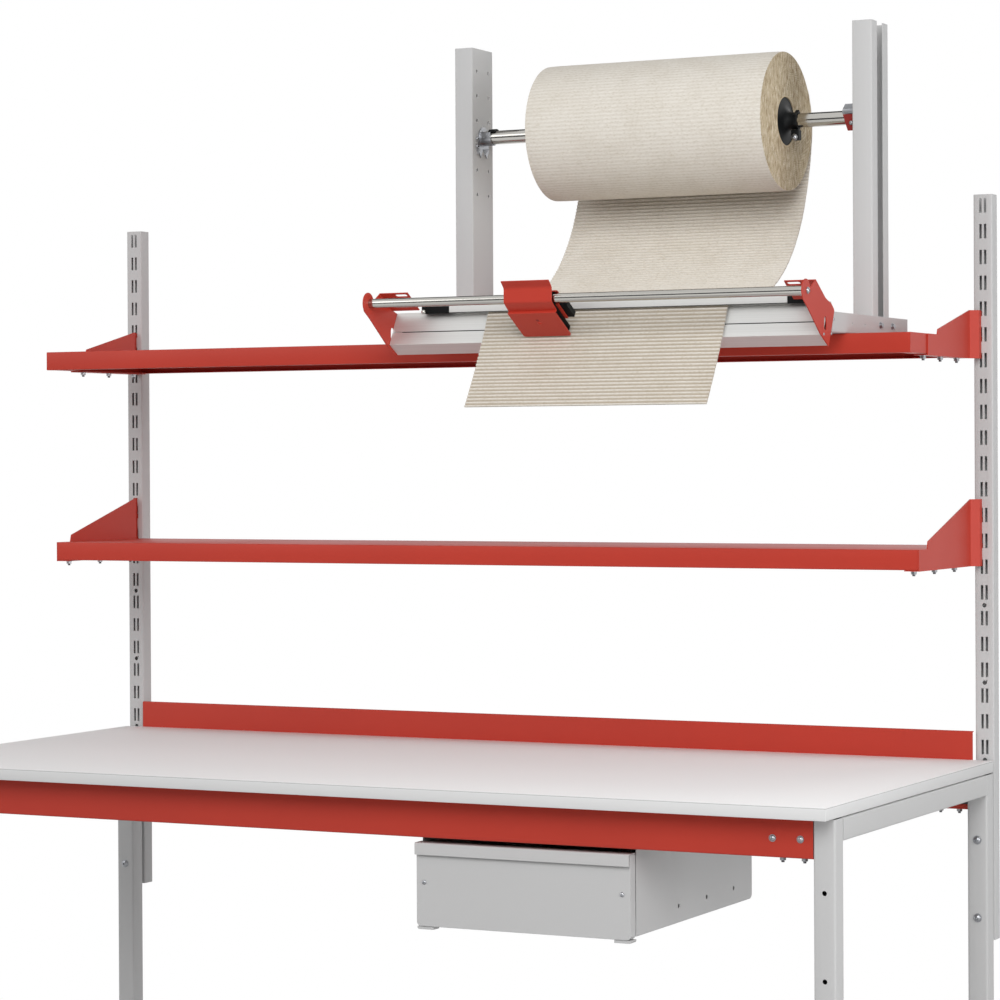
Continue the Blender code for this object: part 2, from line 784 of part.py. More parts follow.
def build_shelf(name, front, top):
    """A tray folded from sheet, open beneath, with a folded angle closing each end."""
    depth = SHELF_BACK - front
    path = [
        (depth - SHELF_RETURN, -SHELF_HEIGHT),
        (depth, -SHELF_HEIGHT),
        (depth, 0),
        (0, 0),
        (0, -SHELF_HEIGHT),
        (SHELF_RETURN, -SHELF_HEIGHT),
    ]
    length = 2 * LEG_INNER_X
    shelf = extruded(name, [folded(path, SHELF_WALL)], "X", length, (0, front, top), "red_paint")
    seam = SHELF_WALL * SEAM_SHARE
    end_path = [(-SHELF_END_RETURN, seam), (-seam, seam), (-seam, SHELF_HEIGHT - SHELF_WALL / 2)]
    for side_name, side in SIDES:
        at = (side * LEG_INNER_X, front + depth / 2, top - SHELF_HEIGHT)
        outline = mirrored(folded(end_path, SHELF_WALL), side)
        end = extruded(
            f"{name}_end_{side_name}", [outline], "Y", depth - SHELF_WALL, at, None, collection=CUTTERS
        )
        combine(shelf, end, "UNION")


def bracket_outline(sizes, front, top):
    """Side view of a bracket, with a hook in each slot that its rear edge covers."""
    nose = front + sizes.setback
    fold = UPRIGHT_FRONT - BRACKET_FOLD_BACK
    rear = UPRIGHT_FRONT - SEAT_GAP
    wall_back = UPRIGHT_FRONT + SHEET_WALL + SEAT_GAP
    low = top - SHELF_HEIGHT - SEAT_GAP - SHEET_WALL
    high = top + sizes.peak_rise
    outline = [(nose, low), (rear, low)]
    for centre in reversed(slot_centres()):
        seat = centre - SLOT_LENGTH / 2 + SEAT_GAP
        if seat < low or seat + HOOK_HEIGHT > high:
            continue
        outline += [
            (rear, seat),
            (wall_back, seat),
            (wall_back, seat - HOOK_DROP),
            (wall_back + HOOK_REACH, seat - HOOK_DROP),
            (wall_back + HOOK_REACH, seat + HOOK_HEIGHT),
            (rear, seat + HOOK_HEIGHT),
        ]
    outline += [
        (rear, high),
        (fold, high),
        (nose + sizes.step + BRACKET_NOSE_SLOPE, top + sizes.step_rise),
        (nose + sizes.step, top),
        (nose, top),
    ]
    return outline, nose, fold, low


def joggle(obj, start, end, shift):
    """Steps the part of a plate that lies behind a fold sideways, over a short sloping run."""
    work = bmesh.new()
    work.from_mesh(obj.data)
    for fold in (start, end):
        everything = work.verts[:] + work.edges[:] + work.faces[:]
        bmesh.ops.bisect_plane(work, geom=everything, plane_co=(fold, 0, 0), plane_no=(1, 0, 0))
    for vertex in work.verts:
        if vertex.co.x > (start + end) / 2:
            vertex.co.z += shift
    work.to_mesh(obj.data)
    work.free()


def build_bracket(name, side, sizes, front, top):
    """A plate outside the shelf's end, stepped out to the slots, with a flange under the shelf."""
    outline, nose, fold, low = bracket_outline(sizes, front, top)
    at = (side * BRACKET_X, 0, 0)
    plate = extruded(name, [outline], "X", SHEET_WALL, at, "red_paint")
    step_out = LEG_X - SLOT_COLUMN_OFFSET - BRACKET_X
    joggle(plate, fold, fold + BRACKET_JOGGLE_LENGTH, side * step_out)
    inner = side * (LEG_INNER_X - BRACKET_FLANGE)
    outer = side * BRACKET_X
    seam = SHEET_WALL * SEAM_SHARE
    flange = box(
        f"{name}_flange",
        (min(inner, outer), nose + seam, low + seam),
        (max(inner, outer), fold - seam, low + SHEET_WALL),
        None,
        collection=CUTTERS,
    )
    combine(plate, flange, "UNION")


def build_shelves():
    """Both shelves with their brackets."""
    for level, front, top, sizes in (
        ("lower", LOWER_SHELF_FRONT, LOWER_SHELF_TOP, LOWER_BRACKET),
        ("upper", UPPER_SHELF_FRONT, UPPER_SHELF_TOP, UPPER_BRACKET),
    ):
        build_shelf(f"shelf_{level}", front, top)
        for side_name, side in SIDES:
            build_bracket(f"bracket_{level}_{side_name}", side, sizes, front, top)


# Paper roll holder


def build_posts():
    """The C posts, open outwards, on the angles that carry them."""
    section = folded(
        [
            (0, -POST_DEPTH / 2 + POST_LIP),
            (0, -POST_DEPTH / 2),
            (-POST_WIDTH, -POST_DEPTH / 2),
            (-POST_WIDTH, POST_DEPTH / 2),
            (0, POST_DEPTH / 2),
            (0, POST_DEPTH / 2 - POST_LIP),
        ],
        -SHEET_WALL,
    )
    foot = folded([(-POST_FOOT_WIDTH, 0), (0, 0), (0, POST_FOOT_HEIGHT)])
    foot_length = POST_FOOT_BACK - POST_FOOT_FRONT
    rows = [POST_TOP - POST_HOLE_TOP_DROP - row * POST_HOLE_PITCH for row in range(POST_HOLE_ROWS)]
    columns = (POST_Y - POST_HOLE_SPACING / 2, POST_Y + POST_HOLE_SPACING / 2)
    for side_name, side in SIDES:
        at = (STATION_X + side * POST_SPREAD, POST_Y, (POST_BOTTOM + POST_TOP) / 2)
        post = extruded(
            f"post_{side_name}", [mirrored(section, side)], "Z", POST_HEIGHT, at, "grey_paint"
        )
        x = STATION_X + side * POST_INNER
        drilled(post, [(x, y, z) for y in columns for z in rows], POST_HOLE, "X", 2 * CUT_OVERRUN)
        outer = STATION_X + side * (POST_SPREAD + SEAT_GAP + SHEET_WALL)
        at = (outer, POST_FOOT_FRONT + foot_length / 2, UPPER_SHELF_TOP + SEAT_GAP)
        rail = extruded(
            f"post_foot_{side_name}", [mirrored(foot, side)], "Y", foot_length, at, "grey_paint"
        )
        height = UPPER_SHELF_TOP + POST_FOOT_HEIGHT / 2
        places = [(outer, POST_FOOT_FRONT + y, height) for y in POST_FOOT_HOLES]
        drilled(rail, places, POST_FOOT_HOLE, "X", 2 * CUT_OVERRUN)


def build_saddles():
    """The brackets on the posts in which the axle's ends lie and turn."""
    inner = AXLE_RADIUS + SEAT_GAP
    outer = inner + SHEET_WALL
    trough = arc((0, 0), outer, HALF_TURN, FULL_TURN, SMALL_SIDES)
    trough = [(-outer, SADDLE_EAR_RISE)] + trough + [(outer, SADDLE_EAR_RISE)]
    bore = arc((0, 0), inner, FULL_TURN, HALF_TURN, SMALL_SIDES)
    bore = [(inner, SADDLE_EAR_RISE)] + bore + [(-inner, SADDLE_EAR_RISE)]
    base = arc((0, 0), SADDLE_HALF_WIDTH, 0, HALF_TURN, SMALL_SIDES)
    base += scaled(SADDLE_EDGE_SHARES, SADDLE_HALF_WIDTH, SADDLE_DROP)
    for side_name, side in SIDES:
        name = f"axle_saddle_{side_name}"
        middle = POST_INNER - SEAT_GAP - SHEET_WALL / 2
        at = (STATION_X + side * middle, POST_Y, AXLE_Z)
        saddle = extruded(name, [base], "X", SHEET_WALL, at, "zinc")
        at = (STATION_X + side * (middle - SADDLE_REACH / 2), POST_Y, AXLE_Z)
        cradle = extruded(f"{name}_cradle", [trough + bore], "X", SADDLE_REACH, at, None, collection=CUTTERS)
        combine(saddle, cradle, "UNION")


def build_roll():
    """The axle, the core, the paper on it and the plugs in its ends, which turn together."""
    reach = POST_INNER - SEAT_GAP - SHEET_WALL - AXLE_END_GAP
    tube("axle", AXLE_RADIUS, AXLE_WALL, "X", 2 * reach, (STATION_X, POST_Y, AXLE_Z), "steel", ROLL)
    core = CORE_DIAMETER / 2
    at = (ROLL_X, POST_Y, AXLE_Z)
    tube("roll_core", core, CORE_WALL, "X", ROLL_WIDTH, at, "core_board", ROLL)
    paper = ROLL_DIAMETER / 2
    bore = core + SEAT_GAP
    tube("paper_roll", paper, paper - bore, "X", ROLL_WIDTH, at, "paper", ROLL, FINE_SIDES)
    hub = PLUG_HUB_DIAMETER / 2
    flange = PLUG_FLANGE_DIAMETER / 2
    spigot = core - CORE_WALL - SEAT_GAP
    shaft = AXLE_RADIUS + SEAT_GAP
    rim = SEAT_GAP + PLUG_FLANGE
    profile = [
        (shaft, PLUG_HUB_LENGTH),
        (hub, PLUG_HUB_LENGTH),
        (hub, 2 * rim),
        (flange, rim),
        (flange, SEAT_GAP),
        (spigot, SEAT_GAP),
        (spigot, -PLUG_SPIGOT),
        (shaft, -PLUG_SPIGOT),
    ]
    boss_height = PLUG_HUB_LENGTH - PLUG_BOSS_DIAMETER / 2
    for side_name, side in SIDES:
        at = (ROLL_X + side * ROLL_WIDTH / 2, POST_Y, AXLE_Z)
        plug = turned(
            f"core_plug_{side_name}", profile, True, at, (0, side * QUARTER_TURN, 0), "black_plastic", ROLL
        )
        boss_length = PLUG_BOSS_RADIUS - (shaft + hub) / 2
        boss_z = AXLE_Z - PLUG_BOSS_RADIUS + boss_length / 2
        boss = extruded(
            f"core_plug_{side_name}_boss",
            [circle(PLUG_BOSS_DIAMETER / 2, HOLE_SIDES)],
            "Z",
            boss_length,
            (at[0] + side * boss_height, POST_Y, boss_z),
            None,
            ROLL,
            CUTTERS,
        )
        combine(plug, boss, "UNION")


def build_paper():
    """The free paper: off the back of the roll, forward over the bed, and down in front of it."""
    leave = ROLL_DIAMETER / 2 + PAPER_LEAVE_GAP + PAPER_THICKNESS / 2
    cosine, sine = math.cos(PAPER_LEAVE_ANGLE), math.sin(PAPER_LEAVE_ANGLE)
    start = Vector((POST_Y + leave * cosine, AXLE_Z + leave * sine))
    down = Vector((sine, -cosine))
    ramp_top = BED_NOSE + BED_OUTLINE_SHARES[0][0] * BED_DEPTH
    over = Vector((ramp_top, BED_TOP + SEAT_GAP + PAPER_THICKNESS / 2))
    level = Vector((-1, 0))
    nose_z = BED_TOP + BED_OUTLINE_SHARES[-1][1] * BED_HEIGHT
    nose = Vector((BED_NOSE - PAPER_NOSE_GAP - PAPER_THICKNESS / 2, nose_z))
    end = nose - Vector((PAPER_HANG_FORWARD, PAPER_HANG))
    slope = Vector((-math.sin(PAPER_HANG_SLOPE), -math.cos(PAPER_HANG_SLOPE)))
    steep = Vector((-math.sin(PAPER_NOSE_SLOPE), -math.cos(PAPER_NOSE_SLOPE)))
    knots = (
        (start, down, PAPER_LEAVE_PULL, PAPER_LEAVE_PULL),
        (over, level, PAPER_BED_PULL, PAPER_FOLD_PULL),
        (nose, steep, PAPER_NOSE_PULL, PAPER_HANG_PULL),
        (end, slope, PAPER_HANG_PULL, PAPER_HANG_PULL),
    )
    curve = bpy.data.curves.new("paper_web", "CURVE")
    curve.dimensions = "2D"
    curve.fill_mode = "NONE"
    curve.extrude = ROLL_WIDTH / 2
    curve.resolution_u = PAPER_STEPS
    spline = curve.splines.new("BEZIER")
    spline.bezier_points.add(len(knots) - 1)
    for knot, (place_at, way, pull_in, pull_out) in zip(spline.bezier_points, knots):
        knot.co = (*place_at, 0)
        knot.handle_left = (*(place_at - way * pull_in), 0)
        knot.handle_right = (*(place_at + way * pull_out), 0)
    drawn = place(
        bpy.data.objects.new("paper_web", curve), (ROLL_X, 0, 0), AXIS_TURN["X"], "paper", ROOT
    )
    shell = drawn.modifiers.new("Paper", "SOLIDIFY")
    shell.thickness = PAPER_THICKNESS
    shell.offset = 0
    smooth(meshed(drawn, "paper_web", "paper", ROOT))


# Cutter


def build_bed():
    """The hollow aluminium bed with the groove that the blade runs in."""
    shell = scaled(BED_OUTLINE_SHARES, BED_DEPTH, BED_HEIGHT)
    groove = Vector((BED_GROOVE_SHARES[0] * BED_DEPTH, BED_GROOVE_SHARES[1] * BED_HEIGHT))
    ramp = (Vector(shell[0]) - groove).normalized()
    inward = Vector((ramp.y, -ramp.x))
    lip = Vector(groove) + ramp * BED_GROOVE
    notch = [groove, groove + inward * BED_GROOVE, lip + inward * BED_GROOVE, lip]
    outer = shell + [tuple(point) for point in notch]
    inner = offset(shell + [tuple(groove)], -BED_WALL - BED_GROOVE, closed=True)
    length = 2 * (CUTTER_HALF - SEAT_GAP)
    extruded("cutter_bed", [outer, inner], "X", length, (STATION_X, BED_NOSE, BED_TOP), "aluminium")


def rounded_slot(length, width):
    """Closed outline of a slot with round ends, about the origin."""
    half = (length - width) / 2
    right = arc((half, 0), width / 2, -QUARTER_TURN, QUARTER_TURN, ROUND_STEPS)
    left = arc((-half, 0), width / 2, QUARTER_TURN, QUARTER_TURN + HALF_TURN, ROUND_STEPS)
    return right + left


def build_end_plates():
    """The red end plates, each with a slotted flange folded inwards behind the tube."""
    first, last = (math.radians(angle) for angle in END_PLATE_LOBE_SWEEP)
    lobe = arc((-END_PLATE_LOBE_FORWARD, 0), END_PLATE_LOBE, first, last, SMALL_SIDES)
    fold = scaled(END_PLATE_FLANGE_SHARES, END_PLATE_REACH, END_PLATE_DROP)
    back = scaled(END_PLATE_BACK_SHARES, END_PLATE_REACH, END_PLATE_DROP)
    front = scaled(END_PLATE_FRONT_SHARES, END_PLATE_REACH, END_PLATE_DROP)
    outline = lobe + fold + back + front
    flange_section = fold + offset(fold, -SHEET_WALL)[::-1]
    slot_at = scaled([END_PLATE_SLOT_SHARES], END_PLATE_REACH, END_PLATE_DROP)[0]
    slot = [(v, u) for u, v in rounded_slot(END_PLATE_SLOT_LENGTH, END_PLATE_SLOT_WIDTH)]
    reach = END_PLATE_FLANGE + SHEET_WALL / 2
    cut = SHEET_WALL + 2 * CUT_OVERRUN
    corner = Vector(fold[0])
    run = (Vector(fold[1]) - corner).normalized()
    flange_slot_at = corner + run * FLANGE_SLOT_WIDTH
    flange_slot_inset = END_PLATE_FLANGE - (FLANGE_SLOT_LENGTH + FLANGE_SLOT_WIDTH) / 2
    for side_name, side in SIDES:
        name = f"cutter_end_plate_{side_name}"
        middle = STATION_X + side * (CUTTER_HALF + SHEET_WALL / 2)
        plate = extruded(name, [outline], "X", SHEET_WALL, (middle, TUBE_Y, TUBE_Z), "red_paint")
        at = (middle - side * reach / 2, TUBE_Y, TUBE_Z)
        flange = extruded(f"{name}_flange", [flange_section], "X", reach, at, None, collection=CUTTERS)
        combine(plate, flange, "UNION")
        at = (middle, TUBE_Y + slot_at[0], TUBE_Z + slot_at[1])
        window = extruded(f"{name}_slot", [slot], "X", cut, at, None, collection=CUTTERS)
        combine(plate, window, "DIFFERENCE")
        x = STATION_X + side * (CUTTER_HALF - flange_slot_inset)
        at = (x, TUBE_Y + flange_slot_at.x, TUBE_Z + flange_slot_at.y)
        opening = extruded(
            f"{name}_flange_slot",
            [rounded_slot(FLANGE_SLOT_LENGTH, FLANGE_SLOT_WIDTH)],
            "Z",
            cut,
            at,
            None,
            collection=CUTTERS,
        )
        opening.rotation_euler = (math.atan2(run.y, run.x), 0, 0)
        combine(plate, opening, "DIFFERENCE")


def build_guide_tube():
    """The tube between the end plates."""
    length = 2 * (CUTTER_HALF - SEAT_GAP)
    tube("guide_tube", TUBE_RADIUS, TUBE_WALL, "X", length, (STATION_X, TUBE_Y, TUBE_Z), "steel")


def build_pressure_bar():
    """The bar across the paper, its end blocks and the knob that lifts it."""
    bar_x = STATION_X + (BAR_RIGHT - BAR_LEFT) / 2
    outline = [
        (0, -BAR_LIP_DROP),
        (BAR_LIP, -BAR_LIP_DROP),
        (BAR_LIP, 0),
        (BAR_DEPTH, 0),
        (BAR_DEPTH, BAR_HEIGHT),
        (BAR_CHAMFER, BAR_HEIGHT),
        (0, BAR_HEIGHT - BAR_CHAMFER),
    ]
    length = BAR_LEFT + BAR_RIGHT
    extruded("pressure_bar", [outline], "X", length, (bar_x, BAR_FRONT, BAR_BOTTOM), "aluminium", BAR)
    top = BAR_BOTTOM - BED_TOP + BAR_HEIGHT
    block = [
        (0, -BAR_END_LIP_DROP),
        (BAR_END_LIP, -BAR_END_LIP_DROP),
        (BAR_END_STEP, SEAT_GAP),
        (BAR_END_DEPTH, SEAT_GAP),
        (BAR_END_DEPTH, top),
        (BAR_END_CHAMFER, top),
        (0, top - BAR_END_CHAMFER),
    ]
    for side_name, side, reach in (("left", -1, BAR_LEFT), ("right", 1, BAR_RIGHT)):
        name = f"pressure_bar_end_{side_name}"
        at = (STATION_X + side * (reach + SEAT_GAP + BAR_END_LENGTH / 2), BAR_FRONT, BED_TOP)
        extruded(name, [block], "X", BAR_END_LENGTH, at, "black_plastic", BAR)
    ball = KNOB_DIAMETER / 2
    stem = KNOB_STEM_DIAMETER / 2
    lowest = -math.acos(stem / ball)
    ball_height = KNOB_STEM - ball * math.sin(lowest)
    profile = arc((0, ball_height), ball, QUARTER_TURN, lowest, ROUND_STEPS * 2)
    profile[0] = (0, profile[0][1])
    profile += [(stem, SEAT_GAP), (0, SEAT_GAP)]
    x = STATION_X - BAR_LEFT - BAR_END_LENGTH + KNOB_INSET
    turned(
        "bar_knob", profile, False, (x, BAR_FRONT, BED_TOP), (QUARTER_TURN, 0, 0), "steel", BAR, SMALL_SIDES
    )


# Cutting head


def head_point(along, out):
    """A place in the head's side view: along the sloping cover from its crease, and out from its face."""
    slope = Vector((COVER_BLADE_BACK, -COVER_BLADE_DROP)).normalized()
    crease = Vector((COVER_CREASE_BACK - COVER_FRONT, -COVER_CREASE_DROP))
    point = crease + slope * along + Vector((-slope.y, slope.x)) * out
    return tuple(point)


def build_head():
    """The red cover with the bush block, inner plate, blade holder and blade behind it."""
    slope_length = math.hypot(COVER_BLADE_BACK, COVER_BLADE_DROP)
    cover_path = [
        (-COVER_FRONT - COVER_LIP_FORWARD, COVER_LIP_RISE),
        (-COVER_FRONT, COVER_BEND_RISE),
        (-COVER_FRONT, -COVER_TUCK_DROP),
        head_point(0, 0),
        head_point(slope_length, 0),
    ]
    outer = filleted(cover_path, COVER_BEND_RADIUS, closed=False, steps=ROUND_STEPS)
    cover = outer + offset(outer, SHEET_WALL)[::-1]
    at = (STATION_X + HEAD_X, TUBE_Y, TUBE_Z)
    smooth(extruded("slider_cover", [cover], "X", HEAD_WIDTH, at, "red_paint", HEAD))

    slope = Vector((COVER_BLADE_BACK, -COVER_BLADE_DROP)).normalized()
    crease = Vector(head_point(0, 0))
    axis_along = -crease.dot(slope)
    axis_out = -crease.dot(Vector((-slope.y, slope.x)))
    inner_width = HEAD_WIDTH - 2 * HEAD_SIDE_INSET
    block_face = SHEET_WALL + SEAT_GAP
    block_back = block_face + BLOCK_DEPTH
    neck = axis_along + math.sqrt((BUSH_RADIUS - BUSH_WALL / 2) ** 2 - (axis_out - block_back) ** 2)
    slab = [
        head_point(SHEET_WALL / 2, block_face),
        head_point(BLOCK_LENGTH, block_face),
        head_point(BLOCK_LENGTH, block_back),
        head_point(neck, block_back),
        head_point(neck, block_back - BLOCK_NECK),
    ]
    block = tube("slider_block", BUSH_RADIUS, BUSH_WALL, "X", inner_width, at, "black_plastic", HEAD)
    body = extruded("slider_block_slab", [slab], "X", inner_width, at, None, HEAD, CUTTERS)
    combine(block, body, "UNION")

    curl_radius = COVER_FRONT
    plate_back = block_back + SEAT_GAP + SHEET_WALL
    curl_end = math.atan2(slope.y, slope.x) - math.asin((axis_out - plate_back) / curl_radius)
    curl = arc((0, 0), curl_radius, math.radians(PLATE_CURL_SWEEP), curl_end, SMALL_SIDES)
    curl.append(tuple(Vector(curl[-1]) + slope * PLATE_LENGTH))
    plate = curl + offset(curl, -SHEET_WALL)[::-1]
    at_plate = (at[0] + PLATE_SHIFT, at[1], at[2])
    smooth(extruded("slider_plate", [plate], "X", inner_width, at_plate, "red_paint", HEAD))

    holder_face = plate_back + SEAT_GAP
    holder_back = holder_face + HOLDER_DEPTH
    holder_end = HOLDER_START + HOLDER_LENGTH
    holder = [
        head_point(HOLDER_START, holder_face),
        head_point(holder_end, holder_face),
        head_point(holder_end, holder_back),
        head_point(HOLDER_START, holder_back),
    ]
    at_holder = (at[0] + HOLDER_SHIFT, at[1], at[2])
    extruded("blade_holder", [holder], "X", HOLDER_WIDTH, at_holder, "black_plastic", HEAD)
    blade = [
        head_point(holder_end + SEAT_GAP, holder_face),
        head_point(holder_end + BLADE_LENGTH, holder_face),
        head_point(holder_end + SEAT_GAP, holder_back),
    ]
    extruded("cutter_blade", [blade], "X", BLADE_THICKNESS, at_holder, "steel", HEAD)


# Drawer


def build_casing():
    """The fixed casing under the top: sides, top and back, with round lower back corners."""
    half = DRAWER_WIDTH / 2
    height = CASING_DROP - TOP_THICKNESS - SEAT_GAP
    depth = CASING_BACK - CASING_FRONT
    section = folded([(half, -height), (half, 0), (-half, 0), (-half, -height)], CASING_WALL)
    at = (DRAWER_X, CASING_FRONT + depth / 2, BEAM_TOP)
    casing = extruded("drawer_casing", [section], "Y", depth, at, "grey_paint")
    seam = CASING_WALL * SEAM_SHARE
    bottom = TABLE_HEIGHT - CASING_DROP
    inner = CASING_INNER + CASING_WALL / 2
    back = box(
        "drawer_casing_back",
        (DRAWER_X - inner, CASING_BACK - CASING_WALL, bottom + seam),
        (DRAWER_X + inner, CASING_BACK - seam, BEAM_TOP - CASING_WALL / 2),
        None,
        collection=CUTTERS,
    )
    combine(casing, back, "UNION")
    for side_name, side in SIDES:
        edges = sorted((DRAWER_X + side * inner, DRAWER_X + side * (half - CASING_LIP)))
        lip = box(
            f"drawer_casing_lip_{side_name}",
            (edges[0], CASING_FRONT + seam, bottom + seam),
            (edges[1], CASING_FRONT + CASING_WALL, bottom + CASING_LIP_HEIGHT),
            None,
            collection=CUTTERS,
        )
        combine(casing, lip, "UNION")
    round_end = arc((-CASING_CORNER, CASING_CORNER), CASING_CORNER, 0, -QUARTER_TURN, ROUND_STEPS * 2)
    outside = [(-CASING_CORNER, -CUT_OVERRUN), (CUT_OVERRUN, -CUT_OVERRUN), (CUT_OVERRUN, CASING_CORNER)]
    corner = round_end + outside
    trim = extruded(
        "drawer_casing_corner",
        [corner],
        "X",
        DRAWER_WIDTH + 2 * CUT_OVERRUN,
        (DRAWER_X, CASING_BACK, bottom),
        None,
        collection=CUTTERS,
    )
    combine(casing, trim, "DIFFERENCE")
    height = bottom + CASING_HOLE_RISE
    rows = [CASING_FRONT + CASING_HOLE_START + row * CASING_HOLE_PITCH for row in range(CASING_HOLES)]
    places = [(DRAWER_X, y, height) for y in rows]
    drilled(casing, places, CASING_HOLE, "X", DRAWER_WIDTH + 2 * CUT_OVERRUN)


def build_drawer():
    """The sliding box, its front and the grip strip along the front's top."""
    half = DRAWER_WIDTH / 2
    bottom = TABLE_HEIGHT - FRONT_DROP
    top = TABLE_HEIGHT - FRONT_TOP_DROP
    front_back = FRONT_Y + FRONT_THICKNESS
    low = (DRAWER_X - half, FRONT_Y, bottom)
    high = (DRAWER_X + half, front_back, top)
    front = box("drawer_front", low, high, "grey_paint", DRAWER)
    bevelled(front, FRONT_EDGE_RADIUS)
    inset = half - FRONT_HOLE_INSET
    places = [(DRAWER_X + side * inset, FRONT_Y, bottom + FRONT_HOLE_RISE) for _, side in SIDES]
    drilled(front, places, FRONT_HOLE, "Y", 2 * CUT_OVERRUN)
    path = [(-HANDLE_REACH, -HANDLE_HEIGHT), (-HANDLE_REACH, 0), (HANDLE_FLANGE, 0)]
    at = (DRAWER_X, FRONT_Y, top + SEAT_GAP + SHEET_WALL)
    extruded("drawer_handle", [folded(path, -SHEET_WALL)], "X", DRAWER_WIDTH, at, "grey_paint", DRAWER)

    floor = TABLE_HEIGHT - CASING_DROP + BOX_FLOOR_RISE
    low = (DRAWER_X - BOX_HALF, front_back + SEAT_GAP, floor)
    high = (DRAWER_X + BOX_HALF, BOX_BACK, floor + BOX_HEIGHT)
    tray = box("drawer_box", low, high, "grey_paint", DRAWER)
    work = bmesh.new()
    work.from_mesh(tray.data)
    lids = [face for face in work.faces if face.normal.z > math.cos(SMOOTH_ANGLE)]
    bmesh.ops.delete(work, geom=lids, context="FACES_ONLY")
    work.to_mesh(tray.data)
    work.free()
    shell = tray.modifiers.new("Sheet", "SOLIDIFY")
    shell.thickness = BOX_WALL
    shell.offset = -1
    shell.use_even_offset = True


def build_runners():
    """The channel on each side of the casing and the one in it that carries the drawer."""
    half = RUNNER_HEIGHT / 2
    outer_path = [(-RUNNER_OUTER_DEPTH, -half), (0, -half), (0, half), (-RUNNER_OUTER_DEPTH, half)]
    outer = folded(outer_path, RUNNER_WALL)
    inner_half = half - RUNNER_WALL - SEAT_GAP
    inner_path = [
        (RUNNER_INNER_DEPTH, inner_half),
        (0, inner_half),
        (0, -inner_half),
        (RUNNER_INNER_DEPTH, -inner_half),
    ]
    inner = folded(inner_path, RUNNER_WALL)
    start = CASING_FRONT + RUNNER_SETBACK
    y = start + RUNNER_LENGTH / 2
    for side_name, side in SIDES:
        at = (DRAWER_X + side * (CASING_INNER - SEAT_GAP), y, RUNNER_Z)
        extruded(f"runner_outer_{side_name}", [mirrored(outer, side)], "Y", RUNNER_LENGTH, at, "zinc")
        at = (DRAWER_X + side * (BOX_HALF + SEAT_GAP), y, RUNNER_Z)
        extruded(f"runner_inner_{side_name}", [mirrored(inner, side)], "Y", RUNNER_LENGTH, at, "zinc", DRAWER)


def main():
    """Builds the whole table."""
    clear_scene()
    make_looks()
    build_top()
    build_legs()
    build_beams()
    build_upstand()
    build_uprights()
    build_shelves()
    build_posts()
    build_saddles()
    build_roll()
    build_paper()
    build_bed()
    build_end_plates()
    build_guide_tube()
    build_pressure_bar()
    build_head()
    build_casing()
    build_drawer()
    build_runners()


if __name__ == "__main__":
    main()
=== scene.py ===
"""Packing table with shelves, a paper roll holder and a roll cutter, dressed over its fixed frame.

Metres, +Z up, the user stands at -Y. Each sub-assembly is a class that gives the frame's solids their
finish and adds what the frame leaves out: fasteners, the fluted paper, the core plugs and folded edges.
The core tube, the core plugs, the paper web and the head's cover differ in size from the solids that
they replace; the report gives the figures.
"""

import logging
import math
from collections.abc import Callable, Iterable, Sequence
from dataclasses import dataclass, field
from enum import Enum

import bmesh
import bpy
from mathutils import Matrix, Vector, geometry, noise


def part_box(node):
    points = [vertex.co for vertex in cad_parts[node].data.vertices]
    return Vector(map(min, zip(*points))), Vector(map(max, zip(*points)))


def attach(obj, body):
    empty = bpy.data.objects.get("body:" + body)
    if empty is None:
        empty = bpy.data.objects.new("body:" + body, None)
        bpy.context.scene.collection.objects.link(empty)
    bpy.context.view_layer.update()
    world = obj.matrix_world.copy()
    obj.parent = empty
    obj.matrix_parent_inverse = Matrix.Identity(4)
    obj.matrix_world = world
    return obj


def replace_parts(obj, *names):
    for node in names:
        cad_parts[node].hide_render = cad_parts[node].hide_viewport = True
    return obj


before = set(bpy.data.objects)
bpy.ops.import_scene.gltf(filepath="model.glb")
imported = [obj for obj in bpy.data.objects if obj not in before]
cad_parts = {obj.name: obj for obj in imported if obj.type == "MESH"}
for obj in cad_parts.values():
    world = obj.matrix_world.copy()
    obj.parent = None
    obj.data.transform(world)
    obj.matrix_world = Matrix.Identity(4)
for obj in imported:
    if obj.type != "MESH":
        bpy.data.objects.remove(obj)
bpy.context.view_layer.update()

LOG = logging.getLogger("packing_table")

MM = 0.001
QUARTER_TURN = math.pi / 2
HALF_TURN = math.pi
FULL_TURN = 2 * math.pi
SHARP_ANGLE = math.radians(36)
WELD_DISTANCE = 0.00001
MIX_A, MIX_B, MIX_RESULT = 6, 7, 2
SIDES = (("left", -1), ("right", 1))
ACROSS, BACK, UP = Vector((1, 0, 0)), Vector((0, 1, 0)), Vector((0, 0, 1))
AXLE_Y, AXLE_Z = 0.2715, 2.0901
GUIDE_Y, GUIDE_Z = -0.1235, 1.739
ROLL_X, ROLL_WIDTH, FLUTE_PITCH = 0.390, 0.500, 7.8 * MM

Point = tuple[float, float]
Tree, Node, Socket = bpy.types.NodeTree, bpy.types.Node, bpy.types.NodeSocket
Sockets = dict[str | int, object]


class Body(Enum):
    """The bodies of the frame that a piece can ride on."""

    TABLE = "root"
    ROLL = "roll"
    BAR = "pressure_bar"
    HEAD = "cutting_head"
    DRAWER = "drawer"


def linear(colour: str) -> tuple[float, float, float, float]:
    """Turns an sRGB hex colour into the linear colour that a socket takes.

    Args:
        colour: Six hex digits after a hash.

    Returns:
        Red, green, blue and a full alpha, all linear.
    """
    shares = [int(colour[index : index + 2], 16) / 255 for index in (1, 3, 5)]
    flat = [share / 12.92 if share <= 0.04045 else ((share + 0.055) / 1.055) ** 2.4 for share in shares]
    return (*flat, 1.0)


